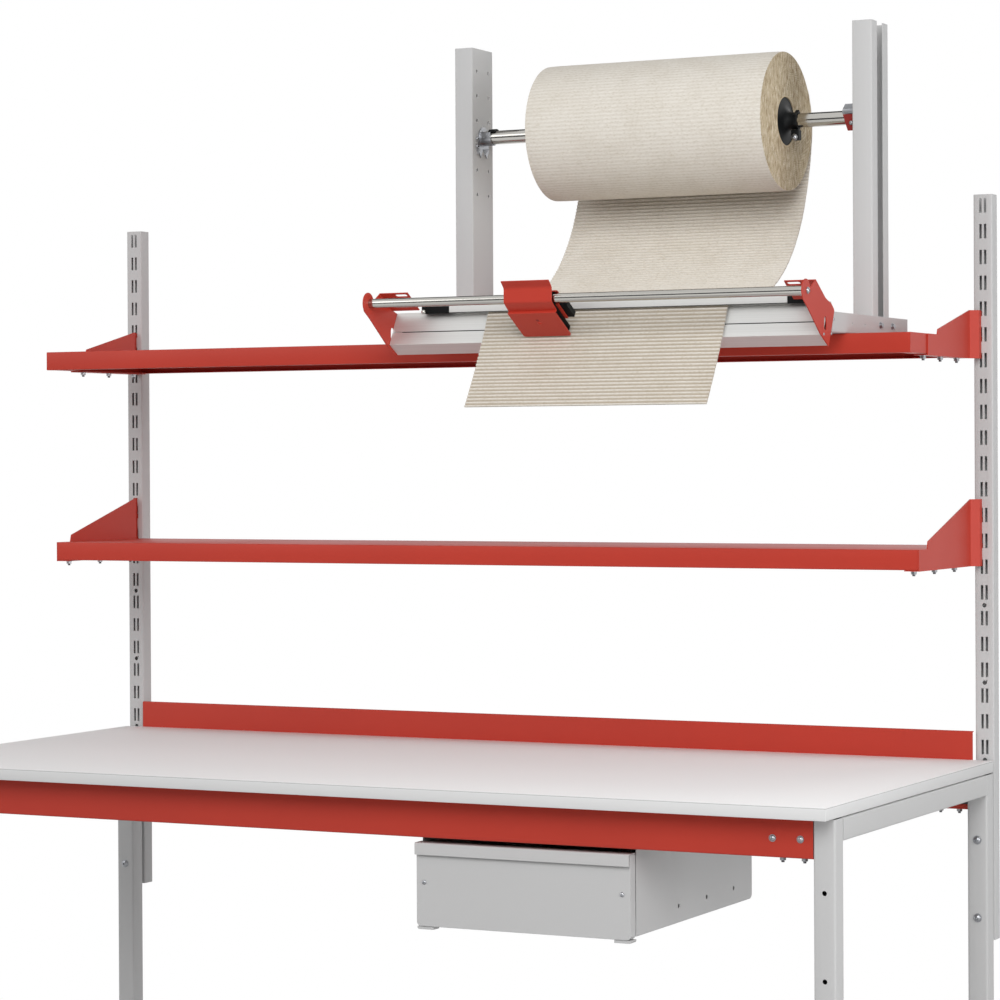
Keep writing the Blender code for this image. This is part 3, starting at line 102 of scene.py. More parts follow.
def add_node(tree: Tree, kind: str, inputs: Sockets | None = None, **settings: object) -> Node:
    """Adds a node with its settings, values and links.

    Args:
        tree: The tree that gets the node.
        kind: The node's type name.
        inputs: A value, or another node's output socket, for each named or numbered input.
        settings: The node's own settings.

    Returns:
        The new node.
    """
    node = tree.nodes.new(kind)
    for name, value in settings.items():
        setattr(node, name, value)
    for key, value in (inputs or {}).items():
        if isinstance(value, Socket):
            tree.links.new(value, node.inputs[key])
        else:
            node.inputs[key].default_value = value
    return node


def empty_tree(owner: bpy.types.Material | bpy.types.World) -> Tree:
    """Gives a material or world a node tree with nothing in it."""
    owner.use_nodes = True
    owner.node_tree.nodes.clear()
    return owner.node_tree


def mix(tree: Tree, share: Socket, first: object, second: object) -> Socket:
    """Mixes two colours.

    Args:
        tree: The tree that gets the node.
        share: How much of the second colour shows, from 0 to 1.
        first: A colour, or another node's output.
        second: A colour, or another node's output.

    Returns:
        The mixed colour.
    """
    inputs = {0: share, MIX_A: first, MIX_B: second}
    return add_node(tree, "ShaderNodeMix", inputs, data_type="RGBA").outputs[MIX_RESULT]


def remap(tree: Tree, value: Socket, given: Point, wanted: Point) -> Socket:
    """Maps a value from one range to another, and holds it there.

    Args:
        tree: The tree that gets the node.
        value: The value.
        given: The range it comes in.
        wanted: The range it goes to.

    Returns:
        The mapped value.
    """
    names = ("Value", "From Min", "From Max", "To Min", "To Max")
    inputs = dict(zip(names, (value, *given, *wanted)))
    return add_node(tree, "ShaderNodeMapRange", inputs).outputs["Result"]


def add_noise(tree: Tree, place: Socket, pitch_mm: float, detail: float) -> Socket:
    """Adds a noise of a stated pitch and detail, and gives its value."""
    inputs = {"Vector": place, "Scale": 1 / (pitch_mm * MM), "Detail": detail}
    return add_node(tree, "ShaderNodeTexNoise", inputs).outputs["Fac"]


def add_relief(tree: Tree, shader: Node, height: Socket, strength: float, distance: float) -> None:
    """Gives a shader's surface a relief, as strong and as deep as stated."""
    inputs = {"Height": height, "Strength": strength, "Distance": distance}
    bump = add_node(tree, "ShaderNodeBump", inputs)
    tree.links.new(bump.outputs["Normal"], shader.inputs["Normal"])


# Finishes


@dataclass(frozen=True)
class Finish:
    """What each finish starts from: its name, the record's slot, and the shader's typical values."""

    name: str
    slot: str
    colour: str
    roughness: float
    metallic: float = 0.0
    ior: float = 1.45
    specular: float = 0.5

    def material(self) -> bpy.types.Material:
        """Makes the material, or gives the one that was made before.

        Returns:
            A node material with this finish.
        """
        made = bpy.data.materials.get(self.name)
        if made:
            return made
        made = bpy.data.materials.new(self.name)
        tree = empty_tree(made)
        values = {"Base Color": linear(self.colour), "Roughness": self.roughness, "Metallic": self.metallic}
        if not self.metallic:
            values["IOR"] = self.ior
            values["Specular IOR Level"] = self.specular
        shader = add_node(tree, "ShaderNodeBsdfPrincipled", values)
        add_node(tree, "ShaderNodeOutputMaterial", {"Surface": shader.outputs["BSDF"]})
        self.detail(tree, shader, add_node(tree, "ShaderNodeTexCoord").outputs["Object"])
        return made

    def detail(self, tree: Tree, shader: Node, place: Socket) -> None:
        """Adds the colour, gloss and relief of the surface.

        Args:
            tree: The material's tree.
            shader: Its Principled shader.
            place: The object coordinates, in metres.
        """

    def vary_gloss(self, tree: Tree, shader: Node, value: Socket, spread: float) -> None:
        """Lets the roughness follow a value, by a spread to either side of its typical value."""
        gloss = remap(tree, value, (0.0, 1.0), (self.roughness - spread, self.roughness + spread))
        tree.links.new(gloss, shader.inputs["Roughness"])


@dataclass(frozen=True)
class PowderCoat(Finish):
    """Sheet steel, folded and powder coated.

    The baked powder levels out to a satin skin with a faint orange peel and very slow changes of tone.
    """

    shade: str = "#B03A2C"
    peel_mm: float = 4.0  # real peel is about 1.5 mm apart; drawn coarser so that it shows
    drift_mm: float = 240.0

    def detail(self, tree: Tree, shader: Node, place: Socket) -> None:
        """Adds orange peel and a slow drift of tone and gloss."""
        drift = add_noise(tree, place, self.drift_mm, 2.0)
        amount = remap(tree, drift, (0.3, 0.7), (0.0, 0.22))
        tone = mix(tree, amount, linear(self.colour), linear(self.shade))
        tree.links.new(tone, shader.inputs["Base Color"])
        self.vary_gloss(tree, shader, drift, 0.05)
        peel = add_noise(tree, place, self.peel_mm, 1.0)
        add_relief(tree, shader, peel, 0.12, 0.2 * MM)


@dataclass(frozen=True)
class MelamineBoard(Finish):
    """Chipboard faced with pressed melamine and edged with a glued plastic strip.

    The press plate leaves a fine pearl grain, and the edge strip's joint shows as a hairline under the face.
    """

    edge_colour: str = "#D9D9D9"
    joint_colour: str = "#A9A9A9"
    grain_mm: float = 2.5  # real pearl grain is about 0.5 mm; drawn coarser so that it shows
    joint_mm: float = 0.8
    top: float = 0.85

    def detail(self, tree: Tree, shader: Node, place: Socket) -> None:
        """Adds the pearl grain, the edge strip's tone and its joint."""
        grain = add_noise(tree, place, self.grain_mm, 3.0)
        add_relief(tree, shader, grain, 0.10, 0.1 * MM)
        facing = add_node(tree, "ShaderNodeNewGeometry")
        up = add_node(tree, "ShaderNodeSeparateXYZ", {0: facing.outputs["Normal"]})
        level = add_node(tree, "ShaderNodeMath", {0: up.outputs["Z"]}, operation="ABSOLUTE")
        side = add_node(tree, "ShaderNodeMath", {0: level.outputs[0], 1: 0.5}, operation="LESS_THAN")
        mottle = remap(tree, grain, (0.35, 0.65), (0.0, 0.10))
        face = mix(tree, mottle, linear(self.colour), linear(self.edge_colour))
        edged = mix(tree, side.outputs[0], face, linear(self.edge_colour))
        height = add_node(tree, "ShaderNodeSeparateXYZ", {0: place})
        joint_width = self.joint_mm * MM
        inputs = {0: height.outputs["Z"], 1: self.top - 2 * joint_width, 2: joint_width / 2}
        near = add_node(tree, "ShaderNodeMath", inputs, operation="COMPARE")
        joint = mix(tree, near.outputs[0], edged, linear(self.joint_colour))
        tree.links.new(joint, shader.inputs["Base Color"])


@dataclass(frozen=True)
class DrawnMetal(Finish):
    """Metal drawn or extruded along X.

    Die lines run the length of the bar, so the gloss is streaked along it.
    """

    shade: str = "#8F8E8A"
    line_mm: float = 1.6  # real die lines are about 0.1 mm apart; drawn coarser so that they show
    run_mm: float = 900.0
    relief: float = 0.08

    def detail(self, tree: Tree, shader: Node, place: Socket) -> None:
        """Adds lines along X to the colour, the gloss and the relief."""
        across = 1 / (self.line_mm * MM)
        scale = (1 / (self.run_mm * MM), across, across)
        stretched = add_node(tree, "ShaderNodeMapping", {"Vector": place, "Scale": scale})
        inputs = {"Vector": stretched.outputs[0], "Scale": 1.0, "Detail": 3.0}
        lines = add_node(tree, "ShaderNodeTexNoise", inputs).outputs["Fac"]
        amount = remap(tree, lines, (0.35, 0.65), (0.0, 0.5))
        tone = mix(tree, amount, linear(self.colour), linear(self.shade))
        tree.links.new(tone, shader.inputs["Base Color"])
        self.vary_gloss(tree, shader, lines, 0.06)
        add_relief(tree, shader, lines, self.relief, 0.1 * MM)


@dataclass(frozen=True)
class ZincPlate(Finish):
    """Steel, stamped and electroplated with bright zinc.

    The plating is bright but cloudy, and a little bluer where it is thick.
    """

    shade: str = "#83868C"
    cloud_mm: float = 9.0

    def detail(self, tree: Tree, shader: Node, place: Socket) -> None:
        """Adds clouds to the colour and the gloss."""
        clouds = add_noise(tree, place, self.cloud_mm, 4.0)
        tone = mix(tree, clouds, linear(self.colour), linear(self.shade))
        tree.links.new(tone, shader.inputs["Base Color"])
        self.vary_gloss(tree, shader, clouds, 0.1)


@dataclass(frozen=True)
class MouldedPlastic(Finish):
    """Polyamide, injection moulded.

    The tool's spark-eroded texture breaks up the gloss into a soft grain.
    """

    shade: str = "#2C2E30"
    grain_mm: float = 1.5  # real grain is about 0.2 mm; drawn coarser so that it shows

    def detail(self, tree: Tree, shader: Node, place: Socket) -> None:
        """Adds the moulded grain to the colour and the relief."""
        grain = add_noise(tree, place, self.grain_mm, 2.0)
        tone = mix(tree, grain, linear(self.colour), linear(self.shade))
        tree.links.new(tone, shader.inputs["Base Color"])
        add_relief(tree, shader, grain, 0.2, 0.2 * MM)


@dataclass(frozen=True)
class RecycledPaper(Finish):
    """Recycled kraft paper, made on a wire and fluted on rolls.

    Mixed fibres leave pale and dark flecks, and the flutes' valleys, where the glue sits, are browner.
    """

    # Colour of the painted shade down between the flutes.
    valley_shade: str = "#957F60"
    fleck: str = "#B3A790"
    pale: str = "#F1EDE5"
    fleck_mm: float = 2.6
    cloud_mm: float = 55.0
    valley_shade_share: float = 0.65
    fleck_share: float = 0.35
    stretch: tuple[float, float, float] = (0.45, 1.0, 1.0)

    def detail(self, tree: Tree, shader: Node, place: Socket) -> None:
        """Adds fibre flecks, slow clouds and the valleys' tone, from the flutes' own height."""
        stretched = add_node(tree, "ShaderNodeMapping", {"Vector": place, "Scale": self.stretch})
        fibres = add_noise(tree, stretched.outputs[0], self.fleck_mm, 3.0)
        dark = remap(tree, fibres, (0.52, 0.72), (0.0, self.fleck_share))
        light = remap(tree, fibres, (0.46, 0.28), (0.0, self.fleck_share))
        clouds = add_noise(tree, place, self.cloud_mm, 2.0)
        cloudy = remap(tree, clouds, (0.4, 0.8), (0.0, 0.18))
        tone = mix(tree, cloudy, linear(self.colour), linear(self.fleck))
        darker = mix(tree, dark, tone, linear(self.fleck))
        paler = mix(tree, light, darker, linear(self.pale))
        # Painted shade: darker and browner down between the flutes, by the amount that the mesh carries.
        depth = add_node(tree, "ShaderNodeAttribute", attribute_name="valley_shade")
        inputs = {0: depth.outputs["Fac"], 1: self.valley_shade_share}
        sunk = add_node(tree, "ShaderNodeMath", inputs, operation="MULTIPLY")
        fluted = mix(tree, sunk.outputs[0], paler, linear(self.valley_shade))
        tree.links.new(fluted, shader.inputs["Base Color"])
        add_relief(tree, shader, fibres, 0.25, 0.3 * MM)


RED_COAT = PowderCoat(
    "powder_coated_steel_red", "red_paint", "#B93829", 0.45, ior=1.5, specular=0.3, shade="#A23023"
)
# The red coat darkened as painted shade, for the guard under the axle and the hole in the head's cover.
SHADED_RED_COAT = PowderCoat(
    "powder_coated_steel_red_painted_shade", "red_paint", "#8C2A26", 0.5, ior=1.5, specular=0.2, shade="#741F1C"
)
GREY_COAT = PowderCoat(
    "powder_coated_steel_grey", "grey_paint", "#C4C4C4", 0.5, ior=1.5, specular=0.25, shade="#BCBCBC"
)
LAMINATE = MelamineBoard("melamine_faced_board", "laminate", "#F5F5F5", 0.65, ior=1.5, specular=0.12)
BRIGHT_STEEL = DrawnMetal("drawn_steel_chromed", "steel", "#C4C2BD", 0.12, 1.0, shade="#96948F")
ALUMINIUM = DrawnMetal(
    "anodised_aluminium_extruded", "aluminium", "#DADAD8", 0.48, 0.6, shade="#CCCCCA", relief=0.05
)
ZINC = ZincPlate("zinc_plated_steel", "zinc", "#B9BABC", 0.32, 1.0)
BLACK_PLASTIC = MouldedPlastic(
    "polyamide_moulded_black", "black_plastic", "#0A0B0C", 0.5, ior=1.53, specular=0.12, shade="#121415"
)
PAPER = RecycledPaper("corrugated_kraft_paper", "paper", "#E2DDD4", 0.8)
PAPER_ENDS = RecycledPaper(
    "corrugated_paper_cut_edge",
    "paper",
    "#C9BA9E",
    0.92,
    # Darker brown for the painted shade in the hollows of the cut edge.
    valley_shade="#6E5A40",
    fleck="#8A7455",
    pale="#EAE1CE",
    fleck_mm=7.0,
    fleck_share=0.85,
    stretch=(1.0, 1.5, 0.55),
)
CORE_BOARD = RecycledPaper("spiral_wound_core_board", "core_board", "#CDBB9C", 0.9, fleck="#A8916D")


# Shapes


def arc(centre: Point, radius: float, start: float, end: float, steps: int) -> list[Point]:
    """Points on a circle from one angle to another.

    Args:
        centre: The circle's centre.
        radius: Its radius.
        start: First angle, in radians.
        end: Last angle.
        steps: Number of steps between them.

    Returns:
        One point more than there are steps.
    """
    turns = [start + (end - start) * step / steps for step in range(steps + 1)]
    return [(centre[0] + radius * math.cos(turn), centre[1] + radius * math.sin(turn)) for turn in turns]


def rounded(points: Sequence[Point], radii: Sequence[float], closed: bool, steps: int = 5) -> list[Point]:
    """A path with its corners turned into arcs.

    Args:
        points: The corners.
        radii: A radius for each corner; zero keeps it sharp.
        closed: Whether the path is an outline.
        steps: Steps of each arc.

    Returns:
        The points of the rounded path.
    """
    result: list[Point] = []
    for index, radius in enumerate(radii):
        corner = Vector(points[index])
        if radius == 0 or (not closed and index in (0, len(points) - 1)):
            result.append(tuple(corner))
            continue
        towards = (Vector(points[index - 1]) - corner).normalized()
        onward = (Vector(points[(index + 1) % len(points)]) - corner).normalized()
        half = towards.angle(onward) / 2
        centre = corner + (towards + onward).normalized() * (radius / math.sin(half))
        first = corner + towards * (radius / math.tan(half)) - centre
        last = corner + onward * (radius / math.tan(half)) - centre
        turn = math.atan2(first.x * last.y - first.y * last.x, first.dot(last))
        begin = math.atan2(first.y, first.x)
        result += arc(tuple(centre), radius, begin, begin + turn, steps)
    return result


def circle(radius: float, sides: int, centre: Point = (0.0, 0.0)) -> list[Point]:
    """Closed outline of a circle."""
    return arc(centre, radius, 0, FULL_TURN * (sides - 1) / sides, sides - 1)


def frame_at(at: Vector, out: Vector, up: Vector = UP) -> Matrix:
    """A place whose Z points out of a surface.

    Args:
        at: The place.
        out: Where its Z points.
        up: Where its Y points, as nearly as it can.

    Returns:
        The matrix of that place.
    """
    z = out.normalized()
    x = up.cross(z) if abs(up.dot(z)) < 0.99 else BACK.cross(z)
    x.normalize()
    y = z.cross(x)
    return _placed(x, y, z, at)


def _placed(x: Vector, y: Vector, z: Vector, at: Vector) -> Matrix:
    """A matrix from three axes and a place."""
    matrix = Matrix((x, y, z)).transposed().to_4x4()
    matrix.translation = at
    return matrix


class Form:
    """A mesh in the making, in world metres, put together from plates, turned shapes and folded sheets."""

    def __init__(self) -> None:
        """Starts empty."""
        self.work = bmesh.new()

    def take(self, part: bmesh.types.BMesh, where: Matrix) -> None:
        """Adds another mesh at a place and frees it.

        Args:
            part: The mesh to add.
            where: Its place.
        """
        bmesh.ops.recalc_face_normals(part, faces=part.faces[:])
        bmesh.ops.transform(part, matrix=where, verts=part.verts[:])
        carried = bpy.data.meshes.new("carried")
        part.to_mesh(carried)
        part.free()
        self.work.from_mesh(carried)
        bpy.data.meshes.remove(carried)

    def plate(
        self, outlines: Sequence[Sequence[Point]], thickness: float, edge: float, where: Matrix
    ) -> None:
        """Adds a flat plate with rounded edges that stands on the place's XY plane.

        Args:
            outlines: The outer outline, then the holes.
            thickness: Its thickness, along the place's Z.
            edge: The edges' rounding.
            where: Its place.
        """
        part = bmesh.new()
        for outline in outlines:
            ring = [part.verts.new((u, v, 0)) for u, v in outline]
            for first, second in zip(ring, ring[1:] + ring[:1]):
                part.edges.new((first, second))
        bmesh.ops.triangle_fill(part, use_beauty=True, use_dissolve=True, edges=part.edges[:])
        grown = bmesh.ops.extrude_face_region(part, geom=part.faces[:])["geom"]
        lifted = [item for item in grown if isinstance(item, bmesh.types.BMVert)]
        bmesh.ops.translate(part, vec=(0, 0, thickness), verts=lifted)
        bmesh.ops.recalc_face_normals(part, faces=part.faces[:])
        round_off(part, edge)
        self.take(part, where)

    def block(self, low: Vector, high: Vector, edge: float) -> None:
        """Adds a block between two corners, with rounded edges.

        Args:
            low: Its lowest corner.
            high: Its highest corner.
            edge: The edges' rounding.
        """
        part = bmesh.new()
        bmesh.ops.create_cube(part, size=1)
        bmesh.ops.scale(part, vec=high - low, verts=part.verts[:])
        round_off(part, edge)
        self.take(part, Matrix.Translation((high + low) / 2))

    def turned(self, profile: Sequence[Point], sides: int, where: Matrix, edge: float = 0.0) -> None:
        """Adds a turned shape.

        Args:
            profile: Radius and height of each point, down its outer side.
            sides: Its sides.
            where: Its place; it turns about the place's Z.
            edge: Rounding of its sharp edges.
        """
        part = bmesh.new()
        points = [part.verts.new((radius, 0, height)) for radius, height in profile]
        lines = [part.edges.new(pair) for pair in zip(points, points[1:])]
        middle, axis = (0, 0, 0), (0, 0, 1)
        bmesh.ops.spin(
            part, geom=points + lines, cent=middle, axis=axis, angle=FULL_TURN, steps=sides, use_merge=True
        )
        bmesh.ops.remove_doubles(part, verts=part.verts[:], dist=WELD_DISTANCE / 10)
        if edge:
            bmesh.ops.recalc_face_normals(part, faces=part.faces[:])
            round_off(part, edge)
        self.take(part, where)

    def sheet(self, path: Sequence[Point], half_widths: Sequence[float], wall: float, where: Matrix) -> None:
        """Adds a folded sheet: a path in the place's XY plane, as wide as stated along its Z.

        Args:
            path: The sheet's outer face, seen from its end.
            half_widths: Half of its width at each point.
            wall: Its thickness, to the path's left.
            where: Its place.
        """
        inner = shifted(path, wall)
        part = bmesh.new()
        rows = []
        for outside, inside, half in zip(path, inner, half_widths):
            corners = [(*outside, -half), (*outside, half), (*inside, half), (*inside, -half)]
            rows.append([part.verts.new(corner) for corner in corners])
        for first, second in zip(rows, rows[1:]):
            for side in range(4):
                around = (side + 1) % 4
                part.faces.new((first[side], first[around], second[around], second[side]))
        part.faces.new(rows[0])
        part.faces.new(rows[-1][::-1])
        self.take(part, where)

    def piece(self, name: str, finish: Finish, body: Body, edge: float = 0.0) -> bpy.types.Object:
        """Turns what was gathered into a piece that rides on a body.

        Args:
            name: The piece's name.
            finish: Its finish.
            body: The body it moves with.
            edge: Rounding of its sharp edges, by a modifier.

        Returns:
            The new piece.
        """
        mesh = bpy.data.meshes.new(name)
        self.work.to_mesh(mesh)
        self.work.free()
        return add_piece(name, mesh, finish, body, edge)


def round_off(part: bmesh.types.BMesh, edge: float) -> None:
    """Rounds all sharp edges of a mesh in the making.

    Args:
        part: The mesh.
        edge: The rounding; zero leaves it sharp.
    """
    if not edge:
        return
    sharp = [line for line in part.edges if line.is_manifold and line.calc_face_angle() > SHARP_ANGLE]
    bmesh.ops.bevel(
        part, geom=sharp, offset=edge, segments=2, profile=0.5, affect="EDGES", clamp_overlap=True
    )


def shifted(path: Sequence[Point], distance: float) -> list[Point]:
    """An open path moved to its left.

    Args:
        path: The path.
        distance: How far it moves.

    Returns:
        The moved path, with mitred corners.
    """
    points = [Vector(point) for point in path]
    runs = [(second - first).normalized() for first, second in zip(points, points[1:])]
    normals = [Vector((-run.y, run.x)) for run in runs]
    moved = []
    for index, point in enumerate(points):
        before = normals[max(index - 1, 0)]
        after = normals[min(index, len(normals) - 1)]
        moved.append(tuple(point + (before + after) * distance / (1 + before.dot(after))))
    return moved


def add_object(name: str, data: object) -> bpy.types.Object:
    """Adds an object to the scene."""
    obj = bpy.data.objects.new(name, data)
    bpy.context.scene.collection.objects.link(obj)
    return obj


def paper_mesh(
    name: str, vertices: Sequence[Vector], faces: Sequence[Sequence[int]], valley_shades: Sequence[float]
) -> bpy.types.Mesh:
    """A mesh whose vertices know how far down they lie between flutes, from 0 to 1."""
    mesh = bpy.data.meshes.new(name)
    mesh.from_pydata(vertices, [], faces)
    mesh.attributes.new("valley_shade", "FLOAT", "POINT").data.foreach_set("value", valley_shades)
    return mesh


def in_metres(points: Iterable[Point]) -> list[Point]:
    """Points given in millimetres, in metres."""
    return [(u * MM, v * MM) for u, v in points]


def add_piece(
    name: str, mesh: bpy.types.Mesh, finish: Finish, body: Body, edge: float = 0.0
) -> bpy.types.Object:
    """Puts a finished mesh into the scene as a piece that rides on a body.

    Args:
        name: The piece's name.
        mesh: Its mesh, in world metres.
        finish: Its finish.
        body: The body it moves with.
        edge: Rounding of its sharp edges, by a modifier.

    Returns:
        The new piece.
    """
    mesh.shade_smooth()
    mesh.set_sharp_from_angle(angle=SHARP_ANGLE)
    mesh.materials.append(finish.material())
    obj = add_object(name, mesh)
    if edge:
        add_rounding(obj, edge)
    else:
        obj.modifiers.new("Even shading", "WEIGHTED_NORMAL").keep_sharp = True
    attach(obj, body.value)
    return obj


def add_rounding(obj: bpy.types.Object, edge: float) -> None:
    """Rounds an object's sharp edges with a modifier.

    Args:
        obj: The object.
        edge: The rounding.
    """
    bevel = obj.modifiers.new("Rounded edges", "BEVEL")
    bevel.width = edge
    bevel.segments = 2
    bevel.limit_method = "ANGLE"
    bevel.angle_limit = SHARP_ANGLE
    bevel.harden_normals = True


def soft_shading() -> Tree:
    """A node group that joins a solid's loose faces and shades its round ones smooth.

    Returns:
        The group, made once.
    """
    name = "Smooth solid"
    made = bpy.data.node_groups.get(name)
    if made:
        return made
    tree = bpy.data.node_groups.new(name, "GeometryNodeTree")
    tree.interface.new_socket("Geometry", in_out="INPUT", socket_type="NodeSocketGeometry")
    tree.interface.new_socket("Geometry", in_out="OUTPUT", socket_type="NodeSocketGeometry")
    start = add_node(tree, "NodeGroupInput")
    plain = add_node(
        tree, "GeometryNodeRemoveAttribute", {"Geometry": start.outputs[0], "Name": "custom_normal"}
    )
    joined = add_node(
        tree, "GeometryNodeMergeByDistance", {"Geometry": plain.outputs[0], "Distance": WELD_DISTANCE}
    )
    inputs = {"Geometry": joined.outputs[0], "Shade Smooth": True}
    smooth = add_node(tree, "GeometryNodeSetShadeSmooth", inputs, domain="FACE")
    fold = add_node(tree, "GeometryNodeInputMeshEdgeAngle")
    steep = add_node(
        tree,
        "FunctionNodeCompare",
        {0: fold.outputs["Unsigned Angle"], 1: SHARP_ANGLE},
        data_type="FLOAT",
        operation="GREATER_THAN",
    )
    sharp = add_node(
        tree,
        "GeometryNodeSetShadeSmooth",
        {"Geometry": smooth.outputs[0], "Selection": steep.outputs[0], "Shade Smooth": False},
        domain="EDGE",
    )
    add_node(tree, "NodeGroupOutput", {0: sharp.outputs[0]})
    return tree


def dress(names: Iterable[str], finish: Finish, edge: float = 0.0) -> None:
    """Gives solids of the frame a finish, smooth round faces and rounded edges.

    Args:
        names: Their nodes.
        finish: The finish.
        edge: Rounding of their sharp edges.
    """
    for name in names:
        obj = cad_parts[name]
        for slot in obj.material_slots:
            slot.material = finish.material()
        obj.modifiers.new("Smooth solid", "NODES").node_group = soft_shading()
        if edge:
            add_rounding(obj, edge)


# Fasteners


class Head(Enum):
    """The kinds of fastener head on the table."""

    SOCKET = "button head with a hexagon socket"
    HEXAGON = "hexagon head"
    NUT = "nut on the end of a bolt"
    RIVET = "blind rivet"


@dataclass(frozen=True)
class Fastener:
    """One fastener, as it stands out of a surface. Sizes follow its thread, as the standards have them."""

    head: Head
    thread: float
    washer: float = 0.0
    washer_thickness: float = 1.2 * MM

    def add(self, form: Form, at: Vector, out: Vector) -> None:
        """Adds the fastener to a form.

        Args:
            form: The form that gathers the fasteners.
            at: Where its axis meets the surface.
            out: The surface's outward direction.
        """
        base = 0.0
        where = frame_at(at, out)
        if self.washer:
            radius = self.washer / 2
            ring = [(0, self.washer_thickness), (radius, self.washer_thickness), (radius, 0)]
            form.turned(ring, 24, where, edge=0.3 * MM)
            base = self.washer_thickness
        raised = where @ Matrix.Translation((0, 0, base))
        shapes: dict[Head, Callable[[Form, Matrix], None]] = {
            Head.SOCKET: self._socket,
            Head.HEXAGON: self._hexagon,
            Head.NUT: self._nut,
            Head.RIVET: self._rivet,
        }
        shapes[self.head](form, raised)

    def _socket(self, form: Form, where: Matrix) -> None:
        """A domed head with a hexagon socket."""
        radius, height = 0.88 * self.thread, 0.55 * self.thread
        key = 0.36 * self.thread
        turns = (1.1, 0.85, 0.6, 0.35, 0.15, 0)
        dome = [(radius * math.cos(turn), height * math.sin(turn)) for turn in turns]
        profile = [(0, height * 0.3), (key, height * 0.3), (key, height * 0.93), *dome]
        form.turned(profile, 24, where)

    def _hexagon(self, form: Form, where: Matrix) -> None:
        """A hexagon head with a chamfered top."""
        width, height = 0.96 * self.thread, 0.65 * self.thread
        profile = [(0, height), (0.86 * width, height), (width, 0.85 * height), (width, 0)]
        form.turned(profile, 6, where, 0.2 * MM)

    def _nut(self, form: Form, where: Matrix) -> None:
        """A nut with a few threads of the bolt standing out of it."""
        width, height, reach = 0.96 * self.thread, 0.8 * self.thread, 1.35 * self.thread
        profile = [(0, height), (0.86 * width, height), (width, 0.88 * height), (width, 0)]
        form.turned(profile, 6, where, 0.2 * MM)
        turns = 5
        profile = [(0, reach), (0.4 * self.thread, reach)]
        for turn in range(turns):
            level = reach - (reach - height) * turn / turns
            step = (reach - height) / turns / 2
            profile += [(0.5 * self.thread, level - step / 2), (0.43 * self.thread, level - step)]
        form.turned([*profile, (0.43 * self.thread, height)], 16, where)

    def _rivet(self, form: Form, where: Matrix) -> None:
        """A low dome with a small hollow in the middle."""
        radius, height = 0.95 * self.thread, 0.4 * self.thread
        dome = [(radius * math.cos(turn), height * math.sin(turn)) for turn in (1.2, 0.9, 0.6, 0.3, 0)]
        form.turned([(0, height * 0.5), (0.3 * self.thread, height * 0.5), *dome], 20, where)


M6_SOCKET = Fastener(Head.SOCKET, 6 * MM, washer=13 * MM)
M6_NUT = Fastener(Head.NUT, 6 * MM, washer=12 * MM)
M6_HEXAGON = Fastener(Head.HEXAGON, 6 * MM, washer=13 * MM)
M8_SOCKET = Fastener(Head.SOCKET, 8 * MM, washer=17 * MM)
M8_NUT = Fastener(Head.NUT, 8 * MM, washer=16 * MM)
M5_SOCKET = Fastener(Head.SOCKET, 5 * MM)
RIVET_3 = Fastener(Head.RIVET, 3 * MM)
RIVET_5 = Fastener(Head.RIVET, 5 * MM)


# Sub-assemblies


@dataclass
class TableFrame:
    """The board on its beams, legs and rails, with the upstand behind it."""

    edge: float = 0.4 * MM
    beam_bolt_x: tuple[float, ...] = (0.886, 0.937)
    beam_bolt_rise: float = 0.033
    under_bolt_front_x: tuple[float, ...] = (0.899, 0.939)
    under_bolt_back_x: tuple[float, ...] = (0.898, 0.936)
    leg_bolt_z: tuple[float, ...] = (0.70, 0.55)

    def build(self) -> None:
        """Adds the bolts of the beams and legs."""
        form = Form()
        front_low, front_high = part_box("beam_front")
        back_low, back_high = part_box("beam_back")
        for _, side in SIDES:
            for x in self.beam_bolt_x:
                at = Vector((side * x, front_low.y, front_low.z + self.beam_bolt_rise))
                M6_SOCKET.add(form, at, -BACK)
            for x in self.under_bolt_front_x:
                M6_NUT.add(form, Vector((side * x, (front_low.y + front_high.y) / 2, front_low.z)), -UP)
            for x in self.under_bolt_back_x:
                M6_NUT.add(form, Vector((side * x, (back_low.y + back_high.y) / 2, back_low.z)), -UP)
        for name, side in SIDES:
            low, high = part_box(f"leg_back_{name}")
            _, upright_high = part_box(f"upright_{name}")
            for z in self.leg_bolt_z:
                M8_SOCKET.add(form, Vector(((low.x + high.x) / 2, low.y, z)), -BACK)
                M8_NUT.add(form, Vector(((low.x + high.x) / 2, upright_high.y, z)), BACK)
        form.piece("table_bolts", ZINC, Body.TABLE)

    def dress(self) -> None:
        """Gives the frame's solids their finish."""
        corners = [f"{end}_{side}" for end in ("front", "back") for side, _ in SIDES]
        dress(["table_top"], LAMINATE)
        dress([f"leg_{corner}" for corner in corners], GREY_COAT, self.edge)
        dress([f"side_rail_{side}" for side, _ in SIDES], GREY_COAT, self.edge)
        dress([f"glide_{corner}" for corner in corners], BLACK_PLASTIC, self.edge)
        dress(["beam_front", "beam_back", "back_upstand"], RED_COAT, self.edge)
        dress([f"beam_bracket_{corner}" for corner in corners], ZINC, self.edge)


